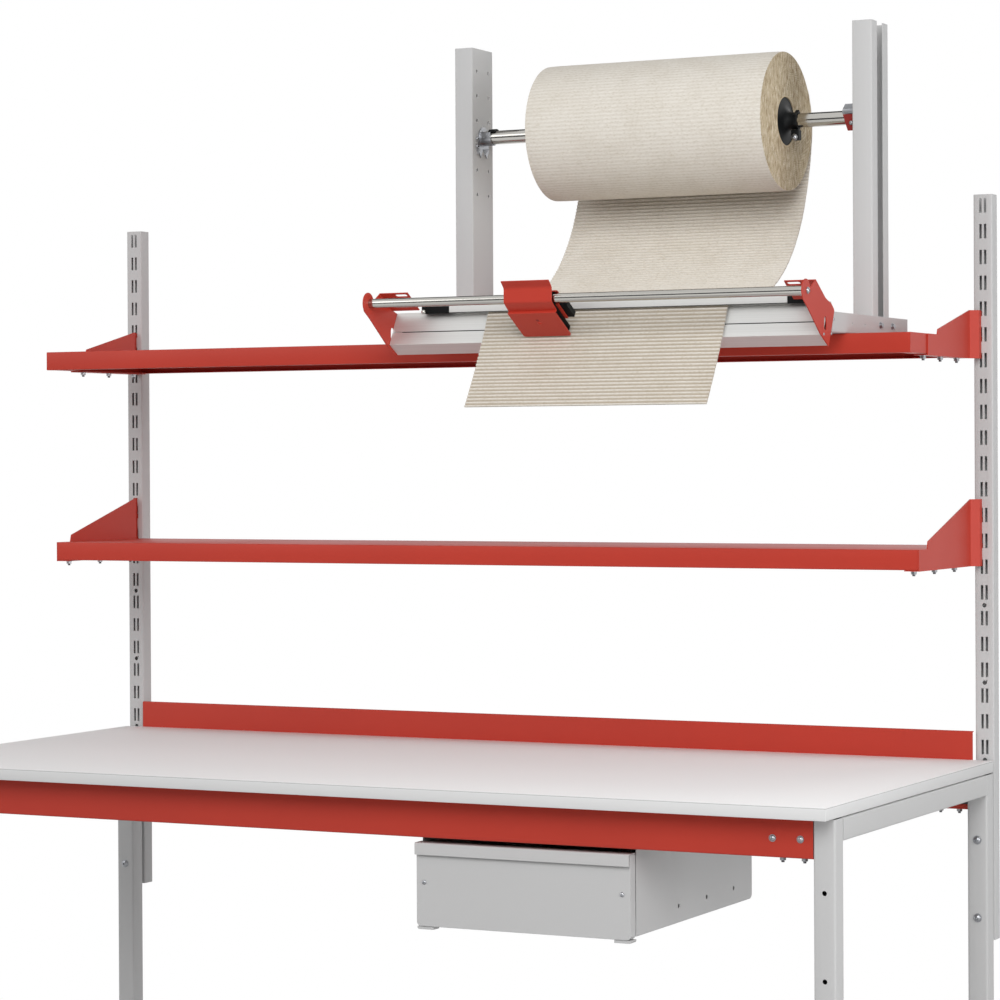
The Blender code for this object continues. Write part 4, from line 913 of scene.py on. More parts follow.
@dataclass
class Shelving:
    """The slotted uprights with two shelves hooked into them."""

    edge: float = 0.35 * MM
    bolt_x: float = 0.945
    lower_bolt_y: tuple[float, ...] = (0.1315, 0.2475, 0.3635)
    upper_bolt_y: tuple[float, ...] = (0.1885, 0.2855, 0.3815)

    def build(self) -> None:
        """Adds the nuts under the bracket flanges."""
        form = Form()
        for level, places in (("lower", self.lower_bolt_y), ("upper", self.upper_bolt_y)):
            for name, side in SIDES:
                low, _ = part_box(f"bracket_{level}_{name}")
                for y in places:
                    M6_NUT.add(form, Vector((side * self.bolt_x, y, low.z)), -UP)
        form.piece("shelf_bolts", ZINC, Body.TABLE)

    def dress(self) -> None:
        """Gives the uprights, shelves and brackets their finish."""
        dress([f"upright_{side}" for side, _ in SIDES], GREY_COAT, self.edge)
        for level in ("lower", "upper"):
            dress([f"shelf_{level}"], RED_COAT, self.edge)
            dress([f"bracket_{level}_{side}" for side, _ in SIDES], RED_COAT)


@dataclass
class RollHolder:
    """The posts on their feet, and the saddles that the axle lies in."""

    edge: float = 0.35 * MM
    axle_radius: float = 14 * MM
    clip_wall: float = 3 * MM
    clip_gap: float = 0.5 * MM
    clip_length: float = 15 * MM
    foot_bolt_y: tuple[float, ...] = (0.2615, 0.3275)
    foot_bolt_z: float = 1.6895
    screw_y: float = 0.2435
    screw_rise: tuple[float, ...] = (-0.004, -0.019)
    screw_inset: float = 2 * MM
    guard_gap: float = 1 * MM
    guard_wall: float = 2 * MM
    guard_edge: float = 0.4 * MM
    fold_edge: float = 1.8 * MM
    # Outlines: millimetres across from the saddle's outer end, and up from the axis.
    guard_outline: tuple[Point, ...] = ((-26.4, 4.3), (0, 4.3), (0, -27.5), (-16.4, -27.5), (-21, -14))
    fold_outline: tuple[Point, ...] = ((-27.7, 5.0), (0, 5.0), (0, 14.5), (-26.9, 14.5))
    cap_outline: tuple[Point, ...] = ((-26.5, 14.8), (0, 14.8), (0, 24.0), (-21.5, 24.0))
    guard_screw: Point = (-9.6 * MM, -12.8 * MM)
    tab_tilt: float = math.radians(24)
    # Tabs: millimetres across from the saddle's outer end, back from the axis, then width and height.
    tabs: tuple[tuple[float, float, float, float], ...] = (
        (0.5, -30.0, 11.5, 12.0),
        (8.0, -17.0, 15.0, 14.5),
    )
    tab_top: float = -25 * MM
    tab_wall: float = 1.5 * MM

    def build(self) -> None:
        """Adds the clip, the guard, the tabs, the screws and the bolts of the holder."""
        clips, screws = Form(), Form()
        for name, side in SIDES:
            low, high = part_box(f"axle_saddle_{name}")
            if side < 0:
                self._add_clip(clips, high.x)
            face = high.x if side > 0 else low.x
            for rise in self.screw_rise:
                at = Vector((face - side * self.screw_inset, self.screw_y, AXLE_Z + rise))
                M5_SOCKET.add(screws, at, Vector((-side, 0, 0)))
            foot_low, foot_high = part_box(f"post_foot_{name}")
            out = foot_high.x if side > 0 else foot_low.x
            for y in self.foot_bolt_y:
                M6_HEXAGON.add(screws, Vector((out, y, self.foot_bolt_z)), Vector((side, 0, 0)))
        clips.piece("axle_clip", BLACK_PLASTIC, Body.TABLE)
        screws.piece("roll_holder_screws", ZINC, Body.TABLE)
        self._add_guard()
        self._add_tabs()

    def _add_clip(self, form: Form, tip: float) -> None:
        """Adds the black clip that holds the axle down in the left saddle.

        Args:
            form: The form that gathers the clip.
            tip: The saddle's inner end.
        """
        inner = self.axle_radius + self.clip_gap
        start, end = math.radians(38), math.radians(142)
        outline = arc((0, 0), inner + self.clip_wall, start, end, 10) + arc((0, 0), inner, end, start, 10)
        where = _placed(BACK, UP, ACROSS, Vector((tip - self.clip_length / 2, AXLE_Y, AXLE_Z)))
        form.plate([outline], self.clip_length, 0.5 * MM, where)

    def _add_guard(self) -> None:
        """Adds the red guard in front of the right saddle, its folded zinc top and its screw."""
        low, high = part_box("axle_saddle_right")
        at = Vector((high.x, low.y - self.guard_gap, AXLE_Z))
        where = _placed(ACROSS, UP, -BACK, at)
        guard = Form()
        guard.plate([in_metres(self.guard_outline)], self.guard_wall, self.guard_edge, where)
        # Painted shade: the guard takes the darkened red.
        guard.piece("saddle_guard_right", SHADED_RED_COAT, Body.TABLE)
        top = Form()
        top.plate([in_metres(self.cap_outline)], self.guard_wall, self.guard_edge, where)
        top.plate([in_metres(self.fold_outline)], 2 * self.guard_wall, self.fold_edge, where)
        top.piece("saddle_guard_top", ZINC, Body.TABLE)
        screw = Form()
        u, v = self.guard_screw
        M5_SOCKET.add(screw, at + ACROSS * u + UP * v - BACK * self.guard_wall, -BACK)
        screw.piece("saddle_guard_screw", ZINC, Body.TABLE)

    def _add_tabs(self) -> None:
        """Adds the pointed tabs bent forward at the foot of the left saddle."""
        low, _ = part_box("axle_saddle_left")
        form = Form()
        for across, back, width, height in self.tabs:
            at = Vector((low.x + across * MM, AXLE_Y + back * MM, AXLE_Z + self.tab_top))
            tilt = Matrix.Rotation(-self.tab_tilt, 4, "X")
            outline = in_metres(((0, 0), (width, 0), (width / 2, -height)))
            form.plate([outline], self.tab_wall, 0.2 * MM, _placed(ACROSS, UP, -BACK, at) @ tilt)
        form.piece("saddle_tabs_left", ZINC, Body.TABLE)

    def dress(self) -> None:
        """Gives the posts, feet and saddles their finish."""
        for side, _ in SIDES:
            dress([f"post_{side}", f"post_foot_{side}"], GREY_COAT, self.edge)
            dress([f"axle_saddle_{side}"], ZINC, self.edge)


@dataclass
class PaperRoll:
    """The wound corrugated paper on its core, with a clamping plug in each end.

    The bore, the core and the plugs aren't the sizes of the frame's solids, which are 84 mm across in the
    core and 97 mm in the plugs' flanges.
    """

    x: float = ROLL_X
    width: float = ROLL_WIDTH
    radius: float = 0.135
    bore: float = 0.0491
    core_wall: float = 2 * MM
    core_gap: float = 0.1 * MM
    layer: float = 3 * MM
    flute_pitch: float = FLUTE_PITCH
    ridge_depth: float = 0.28 * MM
    samples: int = 5
    columns: int = 28
    rim: float = 1.2 * MM
    end_depth: float = 1.6 * MM
    liner_share: float = 0.3
    slip_share: float = 0.35
    sway_share: float = 0.2
    bulge: float = 0.4 * MM
    rolled_share: float = 0.6
    # Painted shade: how dark the hollows of the cut ends, and the dips between ridges on the outside, are
    # painted.
    end_hollow_shade: float = 0.8
    side_valley_shade: float = 0.26
    plug_gap: float = 0.2 * MM
    plug_recess: float = 2 * MM
    plug_edge: float = 1 * MM
    plug_depth: float = 30 * MM
    plug_neck: float = 16.5 * MM
    neck_flare: tuple[Point, ...] = ((1.0, 12 * MM), (1.12, 6 * MM), (1.45, 2 * MM))
    plug_hub: float = 21 * MM
    plug_length: float = 26.5 * MM
    star_length: float = 7 * MM
    star_sink: float = 0.2 * MM
    shaft: float = 14.4 * MM
    star_points: int = 6
    lug_start: float = 12 * MM
    lug_end: float = 28 * MM
    lug_half: float = 9 * MM
    lug_gap: float = 1 * MM
    lug_bottom: float = 38 * MM
    lug_screw_rise: float = 5 * MM

    def build(self) -> None:
        """Adds the paper, its core and the plugs."""
        self._add_paper()
        self._add_core()
        for name, side in SIDES:
            self._add_plug(name, side)

    def dress(self) -> None:
        """Gives the axle its finish."""
        dress(["axle"], BRIGHT_STEEL, 0.3 * MM)

    def _add_paper(self) -> None:
        """Winds the paper: a rippled outside, and ends of crushed flutes between liners."""
        ridges = round(FULL_TURN * self.radius / self.flute_pitch)
        around = ridges * self.samples
        layers = round((self.radius - self.bore) / self.layer)
        steps, depth = 3 * layers, self.radius - self.bore - self.rim
        rings = [self.bore + depth * step / steps for step in range(steps + 1)]
        half = self.width / 2
        vertices: list[Vector] = []
        valley_shades: list[float] = []
        faces: list[tuple[int, ...]] = []

        def add_row(place: Callable[[float], tuple[float, float, float]]) -> None:
            """Adds one closed row of vertices."""
            start = len(vertices)
            for step in range(around):
                turn = FULL_TURN * step / around
                along, radius, valley_shade = place(turn)
                y = AXLE_Y + radius * math.cos(turn)
                z = AXLE_Z + radius * math.sin(turn)
                vertices.append(Vector((self.x + along, y, z)))
                valley_shades.append(valley_shade)
            if start:
                for step in range(around):
                    after = (step + 1) % around
                    faces.append((start - around + step, start - around + after, start + after, start + step))

        for radius in rings:
            add_row(lambda turn, radius=radius: self._end_point(turn, radius, -1))
        for column in range(self.columns + 1):
            along = -half + self.rim / 2 + (self.width - self.rim) * column / self.columns
            add_row(lambda turn, along=along: self._side_point(turn, along, ridges))
        for radius in reversed(rings):
            add_row(lambda turn, radius=radius: self._end_point(turn, radius, 1))
        last = len(vertices) - around
        for step in range(around):
            after = (step + 1) % around
            faces.append((last + step, last + after, after, step))
        mesh = paper_mesh("wound_paper", vertices, faces, valley_shades)
        roll = add_piece("wound_paper", mesh, PAPER, Body.ROLL)
        roll.data.materials.append(PAPER_ENDS.material())
        end_faces = len(rings) * around
        for index, polygon in enumerate(mesh.polygons):
            polygon.material_index = int(index < end_faces or index >= len(faces) - end_faces)
        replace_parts(roll, "paper_roll")

    def _end_point(self, turn: float, radius: float, side: int) -> tuple[float, float, float]:
        """A point on an end of the roll.

        Args:
            turn: Angle about the axis.
            radius: Distance from the axis.
            side: -1 on the left, 1 on the right.

        Returns:
            Its place along the roll, its radius, and how far it lies in a hollow, from 0 to 1.
        """
        wound = (radius - self.bore) / self.layer - turn / FULL_TURN
        level = math.floor(wound)
        share = wound - level
        liner = 1.0 if share < self.liner_share else 0.0
        crush = noise.noise(Vector((3.1 * math.cos(turn), 3.1 * math.sin(turn), radius * 60 + side)))
        wave = 0.5 + 0.5 * math.cos(FULL_TURN * radius * turn / self.flute_pitch + 5 * crush + 2.4 * level)
        hollow = (1 - liner) * wave
        slip = noise.noise(Vector((level * 0.9, 1.3 * math.cos(turn) + 5 * side, 1.3 * math.sin(turn))))
        depth = hollow * (0.55 + 0.45 * crush) + self.slip_share * abs(slip)
        inset = min(max(depth, 0.0), 1.0) * self.end_depth
        around = Vector((6 * math.cos(turn), 6 * math.sin(turn), level * 0.7))
        sway = self.sway_share * self.layer * noise.noise(around)
        if radius < self.bore + self.layer or radius > self.radius - self.layer:
            sway = 0.0
        return side * (self.width / 2 - inset), radius + sway, min(1.0, hollow * self.end_hollow_shade)

    def _side_point(self, turn: float, along: float, ridges: int) -> tuple[float, float, float]:
        """A point on the outside of the roll, where the flutes show through the liner."""
        ridge = 0.5 + 0.5 * math.cos(ridges * turn)
        slow = noise.noise(Vector((along * 5, 2 * math.cos(turn), 2 * math.sin(turn))))
        edge = self.width / 2 - abs(along)
        rolled = self.rim * self.rolled_share * max(0.0, 1 - edge / (3 * self.rim)) ** 2
        sunk = self.ridge_depth * (1 - ridge) + self.bulge * (0.5 + 0.5 * slow) + rolled
        return along, self.radius - sunk, self.side_valley_shade * (1 - ridge)

    def _add_core(self) -> None:
        """Adds the board tube that the paper is wound on."""
        outer, half = self.bore - self.core_gap, self.width / 2
        inner = outer - self.core_wall
        tube = [(outer, half), (outer, -half), (inner, -half), (inner, half), (outer, half)]
        form = Form()
        form.turned(tube, 64, frame_at(Vector((self.x, AXLE_Y, AXLE_Z)), ACROSS), edge=0.4 * MM)
        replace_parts(form.piece("core_tube_wound", CORE_BOARD, Body.ROLL), "roll_core")

    def _add_plug(self, name: str, side: int) -> None:
        """Adds a core plug: a shallow dish, a neck that ends in a star, and a clamp lug with its screw.

        Args:
            name: Left or right.
            side: -1 or 1.
        """
        out = Vector((side, 0, 0))
        end = Vector((self.x + side * self.width / 2, AXLE_Y, AXLE_Z))
        where = frame_at(end, out)
        form = Form()
        mouth = self.bore - self.core_wall - self.plug_gap
        neck_start = self.plug_length - self.star_length
        bowl = [
            (self.shaft, neck_start),
            (self.plug_neck, neck_start),
            *((share * self.plug_neck, height) for share, height in self.neck_flare),
            (2.0 * self.plug_neck, -0.5 * self.plug_recess),
            (mouth - self.plug_edge, -self.plug_recess),
            (mouth, -self.plug_recess - self.plug_edge),
            (mouth, -self.plug_depth),
            (self.shaft, -self.plug_depth),
            (self.shaft, neck_start),
        ]
        form.turned(bowl, 64, where)
        outline = []
        for step in range(self.star_points * 2):
            turn = HALF_TURN * step / self.star_points + QUARTER_TURN
            reach = self.plug_hub if step % 2 == 0 else 0.78 * self.plug_hub
            outline.append((reach * math.cos(turn), reach * math.sin(turn)))
        star = where @ Matrix.Translation((0, 0, neck_start - self.star_sink))
        form.plate([outline, circle(self.shaft, 32)], self.star_length, 0.8 * MM, star)
        ends = sorted((end.x + side * self.lug_start, end.x + side * self.lug_end))
        low = Vector((ends[0], end.y - self.lug_half, end.z - self.lug_bottom))
        high = Vector((ends[1], end.y + self.lug_half, end.z - self.plug_neck - self.lug_gap))
        form.block(low, high, 2.5 * MM)
        plug = form.piece(f"core_plug_{name}_moulded", BLACK_PLASTIC, Body.ROLL)
        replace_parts(plug, f"core_plug_{name}")
        screw = Form()
        M6_SOCKET.add(screw, Vector(((low.x + high.x) / 2, low.y, low.z + self.lug_screw_rise)), -BACK)
        screw.piece(f"core_plug_{name}_screw", ZINC, Body.ROLL)


@dataclass
class PaperWeb:
    """The free stretch of single-faced corrugated paper, with its flutes up.

    It hangs a little shorter than the frame's solid, and also lies along the roll, which the solid doesn't.
    """

    x: float = ROLL_X
    width: float = ROLL_WIDTH
    leave_radius: float = 0.1375
    leave_angle: float = math.radians(-10)
    lead_angle: float = math.radians(32)
    lead_radius: float = 0.1362
    over: Point = (-0.0155, 1.7263)
    nose: Point = (-0.0525, 1.661908)
    hang: Point = (0.074, 0.1245)
    nose_slope: float = math.radians(28)
    slope: float = math.radians(33)
    pulls: tuple[float, ...] = (0.220, 0.255, 0.012, 0.045, 0.050)
    thickness: float = 3 * MM
    liner: float = 0.4 * MM
    flute_pitch: float = FLUTE_PITCH
    samples: int = 12
    columns: int = 14
    lead_steps: int = 16
    curve_steps: int = 120
    flute_power: float = 0.75
    ragged: float = 0.5 * MM
    bow: float = 0.7 * MM
    side_gap: float = 0.5 * MM
    # Painted shade between the flutes: the share kept behind the bed, where the sheet faces up to the light,
    # and the length over which it grows to full in front.
    back_shade_share: float = 0.35
    back_shade_fade: float = 0.03

    def build(self) -> None:
        """Adds the liner and the fluted sheet on it as one piece."""
        line = self._line()
        vertices: list[Vector] = []
        valley_shades: list[float] = []
        faces: list[tuple[int, ...]] = []
        low = -self.thickness / 2
        rise = self.thickness - 2 * self.liner
        for base, waved in ((low, False), (low + self.liner, True)):
            self._add_sheet(line, base, rise if waved else 0.0, vertices, valley_shades, faces)
        mesh = paper_mesh("fluted_paper_web", vertices, faces, valley_shades)
        web = add_piece("fluted_paper_web", mesh, PAPER, Body.TABLE)
        web.modifiers.clear()
        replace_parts(web, "paper_web")

    def dress(self) -> None:
        """The web has no solid of the frame left to dress."""

    def _line(self) -> list[tuple[float, Vector, Vector, float]]:
        """The middle of the sheet, evenly spaced.

        Returns:
            For each point its length along the sheet, its place, the direction to the fluted side, and the
            share of the sheet's full thickness that it has there.
        """
        axis = Vector((AXLE_Y, AXLE_Z))
        points = []
        for step in range(self.lead_steps):
            share = step / self.lead_steps
            turn = self.lead_angle + (self.leave_angle - self.lead_angle) * share
            radius = self.lead_radius + (self.leave_radius - self.lead_radius) * share
            points.append(axis + Vector((radius * math.cos(turn), radius * math.sin(turn))))
        cosine, sine = math.cos(self.leave_angle), math.sin(self.leave_angle)
        start = axis + Vector((cosine, sine)) * self.leave_radius
        nose = Vector(self.nose)
        steep = Vector((-math.sin(self.nose_slope), -math.cos(self.nose_slope)))
        slope = Vector((-math.sin(self.slope), -math.cos(self.slope)))
        first, second, third, fourth, fifth = self.pulls
        knots = (
            (start, Vector((sine, -cosine)), first, first),
            (Vector(self.over), Vector((-1, 0)), second, third),
            (nose, steep, fourth, fifth),
            (nose - Vector(self.hang), slope, fifth, fifth),
        )
        for (at, way, _, pull), (to, to_way, back, _) in zip(knots, knots[1:]):
            handles = at + way * pull, to - to_way * back
            stretch = geometry.interpolate_bezier(at, *handles, to, self.curve_steps)
            points += [point.to_2d() for point in stretch[:-1]]
        points.append(knots[-1][0])
        lengths = [0.0]
        for before, after in zip(points, points[1:]):
            lengths.append(lengths[-1] + (after - before).length)
        lead_length = lengths[self.lead_steps]
        pace = self.flute_pitch / self.samples
        count = int(lengths[-1] / pace)
        result = []
        at = 0
        for step in range(count + 1):
            length = lengths[-1] * step / count
            while at < len(points) - 2 and lengths[at + 1] < length:
                at += 1
            share = (length - lengths[at]) / (lengths[at + 1] - lengths[at])
            place = points[at].lerp(points[at + 1], share)
            run = (points[at + 1] - points[at]).normalized()
            grown = min(1.0, 0.15 + 0.85 * length / lead_length)
            result.append((length, place, Vector((run.y, -run.x)), grown))
        return result

    def _add_sheet(
        self,
        line: list[tuple[float, Vector, Vector, float]],
        base: float,
        rise: float,
        vertices: list[Vector],
        valley_shades: list[float],
        faces: list[tuple[int, ...]],
    ) -> None:
        """Adds one sheet of paper, flat or waved, as a closed skin.

        Args:
            line: The middle of the web.
            base: Where the sheet's underside lies, across the web.
            rise: Height of its waves.
            vertices: Takes the vertices.
            valleys: Takes each vertex's depth between flutes, from 0 to 1.
            faces: Takes the faces.
        """
        start = len(vertices)
        row = 2 * (self.columns + 1)
        for length, place, out, grown in line:
            phase = 0.5 + 0.5 * math.cos(FULL_TURN * length / self.flute_pitch)
            height = rise * phase**self.flute_power
            flute = math.floor(length / self.flute_pitch)
            ragged = self.ragged * noise.noise(Vector((flute * 0.77, 3.3, 0)))
            # Painted shade between the flutes, full in front of the bed and weaker behind it.
            ahead = min(1.0, max(0.0, (self.over[0] + self.back_shade_fade - place.x) / self.back_shade_fade))
            valley_shade_level = self.back_shade_share + (1 - self.back_shade_share) * ahead
            for top in (0.0, self.liner):
                for column in range(self.columns + 1):
                    share = column / self.columns - 0.5
                    loose = ragged if column in (0, self.columns) else 0.0
                    x = self.x + share * (self.width - 2 * self.side_gap) + loose
                    bow = self.bow * noise.noise(Vector((x * 4, length * 3.5, 0.4)))
                    offset = (base + height + top) * grown + bow * min(1.0, length * 4)
                    at = place + out * offset
                    vertices.append(Vector((x, at.x, at.y)))
                    valley_shades.append(valley_shade_level * (1 - phase) if rise else 0.0)
        columns = self.columns
        for index in range(len(line) - 1):
            here, there = start + index * row, start + (index + 1) * row
            for column in range(columns):
                faces.append((here + column, there + column, there + column + 1, here + column + 1))
                over, next_over = here + columns + 1 + column, there + columns + 1 + column
                faces.append((over, over + 1, next_over + 1, next_over))
            left, right = columns + 1, 2 * columns + 1
            faces.append((here, here + left, there + left, there))
            faces.append((here + columns, there + columns, there + right, here + right))
        for index, turned in ((0, False), (len(line) - 1, True)):
            here = start + index * row
            for column in range(columns):
                over = here + columns + 1 + column
                corners = (here + column, here + column + 1, over + 1, over)
                faces.append(corners[::-1] if turned else corners)


@dataclass
class Cutter:
    """The bed, end plates, guide tube and pressure bar of the roll cutter."""

    edge: float = 0.35 * MM
    rivets: tuple[Point, ...] = ((-0.0435, 1.663), (-0.0055, 1.665), (0.0075, 1.692))
    bed_nose: float = -0.0485
    bed_top: float = 1.7245
    bed_depth: float = 0.050
    bed_height: float = 0.0815
    groove_shares: Point = (0.24, -0.48)
    ramp_top_share: float = 0.66
    strip_width: float = 1.7 * MM
    strip_depth: float = 1.7 * MM
    strip_lift: float = 0.15 * MM
    strip_sink: float = 0.25 * MM
    strip_inset: float = 22 * MM
    strip_end_gap: float = 2 * MM
    # A thin black strip at the bar's foot: painted shadow of the bar on the paper.
    shadow_strip_height: float = 1.2 * MM
    shadow_strip_wall: float = 0.5 * MM
    shadow_strip_gap: float = 0.05 * MM

    def build(self) -> None:
        """Adds the bolts, the rivets, the strip in the blade's groove and the seal at the bar's foot."""
        form = Form()
        for name, side in SIDES:
            low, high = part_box(f"cutter_end_plate_{name}")
            face = high.x if side > 0 else low.x
            out = Vector((side, 0, 0))
            M6_SOCKET.add(form, Vector((face, GUIDE_Y, GUIDE_Z)), out)
            for y, z in self.rivets:
                RIVET_3.add(form, Vector((face, y, z)), out)
        form.piece("cutter_bolts", ZINC, Body.TABLE)
        self._add_groove_shade_strip()
        self._add_bar_shadow_strip()

    def _add_groove_shade_strip(self) -> None:
        """Adds the black strip that lines the foot of the groove's ramp."""
        low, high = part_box("cutter_bed")
        groove = Vector((self.groove_shares[0] * self.bed_depth, self.groove_shares[1] * self.bed_height))
        ramp = (Vector((self.ramp_top_share * self.bed_depth, 0)) - groove).normalized()
        inward = Vector((ramp.y, -ramp.x))
        corner = groove + ramp * self.strip_lift + inward * self.strip_sink
        corners = [corner, corner + ramp * self.strip_width]
        corners += [point + inward * self.strip_depth for point in reversed(corners)]
        strip = Form()
        where = _placed(BACK, UP, ACROSS, Vector((low.x + self.strip_inset, self.bed_nose, self.bed_top)))
        length = high.x - low.x - self.strip_inset - self.strip_end_gap
        strip.plate([[tuple(point) for point in corners]], length, 0.0, where)
        # Painted shade: the black strip darkens the groove more than its own shade does.
        strip.piece("groove_painted_shade_strip", BLACK_PLASTIC, Body.TABLE)

    def _add_bar_shadow_strip(self) -> None:
        """Adds the black strip in front of the foot of the pressure bar."""
        low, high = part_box("pressure_bar")
        shadow_strip = Form()
        corner = Vector((low.x, low.y - self.shadow_strip_wall, low.z))
        far = Vector((high.x, low.y - self.shadow_strip_gap, low.z + self.shadow_strip_height))
        shadow_strip.block(corner, far, 0.1 * MM)
        shadow_strip.piece("bar_painted_shadow_strip", BLACK_PLASTIC, Body.BAR)

    def dress(self) -> None:
        """Gives the cutter's solids their finish."""
        dress(["cutter_bed", "pressure_bar"], ALUMINIUM, 0.25 * MM)
        dress([f"cutter_end_plate_{side}" for side, _ in SIDES], RED_COAT, self.edge)
        dress(["guide_tube"], BRIGHT_STEEL)
        dress(["bar_knob"], BRIGHT_STEEL)
        dress([f"pressure_bar_end_{side}" for side, _ in SIDES], BLACK_PLASTIC, self.edge)


@dataclass
class CuttingHead:
    """The cover, bush block, plate, blade holder and blade that slide on the guide tube.

    The cover has a step between crease and ridge that the frame's solid lacks, and a longer plate.
    """

    x: float = 0.281
    width: float = 0.100
    wall: float = 2 * MM
    face: float = 14.6 * MM
    lip: Point = (12.5 * MM, 32 * MM)
    bend_rise: float = 20 * MM
    tuck_drop: float = 7.2 * MM
    crease: Point = (20.5 * MM, 22.5 * MM)
    ridge: Point = (16.1 * MM, 27.0 * MM)
    blade_run: Point = (70 * MM, 41 * MM)
    packing: float = 9 * MM
    packing_inset: float = 3 * MM
    packing_run: float = 66 * MM
    packing_gap: float = 0.1 * MM
    bends: tuple[float, ...] = (0, 9 * MM, 7 * MM, 0, 1 * MM, 0)
    bend_steps: int = 7
    corner: float = 5 * MM
    corner_steps: int = 6
    rivet_x: float = 0.283
    rivet_share: float = 0.44
    hole_gap: float = 10.5 * MM
    hole_radius: float = 3.1 * MM
    hole_relief: float = 0.15 * MM

    def build(self) -> None:
        """Adds the cover, its rivet, its hole, and the packing behind it."""
        at = Vector((self.x, GUIDE_Y, GUIDE_Z))
        start = Vector((self.ridge[0] - self.face, -self.ridge[1]))
        end = start + Vector((self.blade_run[0], -self.blade_run[1]))
        self._add_cover(at, start, end)
        self._add_marks(start, end - start)
        self._add_packing(at, start, (end - start).normalized())

    def _add_cover(self, at: Vector, start: Vector, end: Vector) -> None:
        """Adds the folded cover, with rounded corners at its lower end.

        Args:
            at: The place on the guide tube that the outline is measured from.
            start: Where the sloping plate starts, across and up from there.
            end: Where it ends.
        """
        top = (-self.face - self.lip[0], self.lip[1])
        tuck = (self.crease[0] - self.face, -self.crease[1])
        path = [top, (-self.face, self.bend_rise), (-self.face, -self.tuck_drop), tuck, start, end]
        path = rounded(path, self.bends, closed=False, steps=self.bend_steps)[:-1]
        half = self.width / 2
        widths = [half] * len(path)
        along = (end - start).normalized()
        for step in range(self.corner_steps + 1):
            turn = QUARTER_TURN * step / self.corner_steps
            path.append(tuple(end - along * self.corner * (1 - math.sin(turn))))
            widths.append(half - self.corner * (1 - math.cos(turn)))
        form = Form()
        form.sheet(path, widths, self.wall, _placed(BACK, UP, ACROSS, at))
        cover = form.piece("head_cover_folded", RED_COAT, Body.HEAD, edge=0.6 * MM)
        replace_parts(cover, "slider_cover")

    def _add_marks(self, start: Vector, run: Vector) -> None:
        """Adds the rivet and the hole above it, on the sloping plate.

        Args:
            start: Where the plate starts.
            run: The way from there to its end.
        """
        away = Vector((0, run.y, -run.x)).normalized()
        place = start + run * self.rivet_share
        on_face = Vector((self.rivet_x, GUIDE_Y + place.x, GUIDE_Z + place.y))
        rivet = Form()
        RIVET_5.add(rivet, on_face, away)
        rivet.piece("head_cover_rivet", RED_COAT, Body.HEAD)
        up_slope = Vector((0, -run.x, -run.y)).normalized()
        # Painted shade: a thin flat disc in darkened red stands for the shaded hollow of a hole.
        hole = Form()
        ring = [(0, self.hole_relief), (self.hole_radius, self.hole_relief), (self.hole_radius, 0)]
        hole.turned(ring, 16, frame_at(on_face + up_slope * self.hole_gap, away))
        hole.piece("head_cover_hole_painted_shade", SHADED_RED_COAT, Body.HEAD)

    def _add_packing(self, at: Vector, start: Vector, along: Vector) -> None:
        """Adds the black packing under the sloping plate.

        Args:
            at: The place on the guide tube that the outline is measured from.
            start: Where the plate starts.
            along: The plate's direction.
        """
        inward = Vector((-along.y, along.x))
        corner = start + along * self.packing_inset + inward * (self.wall + self.packing_gap)
        slab = [corner, corner + along * self.packing_run]
        slab += [point + inward * self.packing for point in reversed(slab)]
        packing = Form()
        where = _placed(BACK, UP, ACROSS, at - ACROSS * (self.width / 2 - self.wall))
        packing.plate([[tuple(point) for point in slab]], self.width - 2 * self.wall, 0.3 * MM, where)
        packing.piece("head_packing", BLACK_PLASTIC, Body.HEAD)

    def dress(self) -> None:
        """Gives the head's solids their finish."""
        dress(["slider_block", "blade_holder"], BLACK_PLASTIC, 0.4 * MM)
        dress(["slider_plate"], RED_COAT, 0.4 * MM)
        dress(["cutter_blade"], BRIGHT_STEEL)


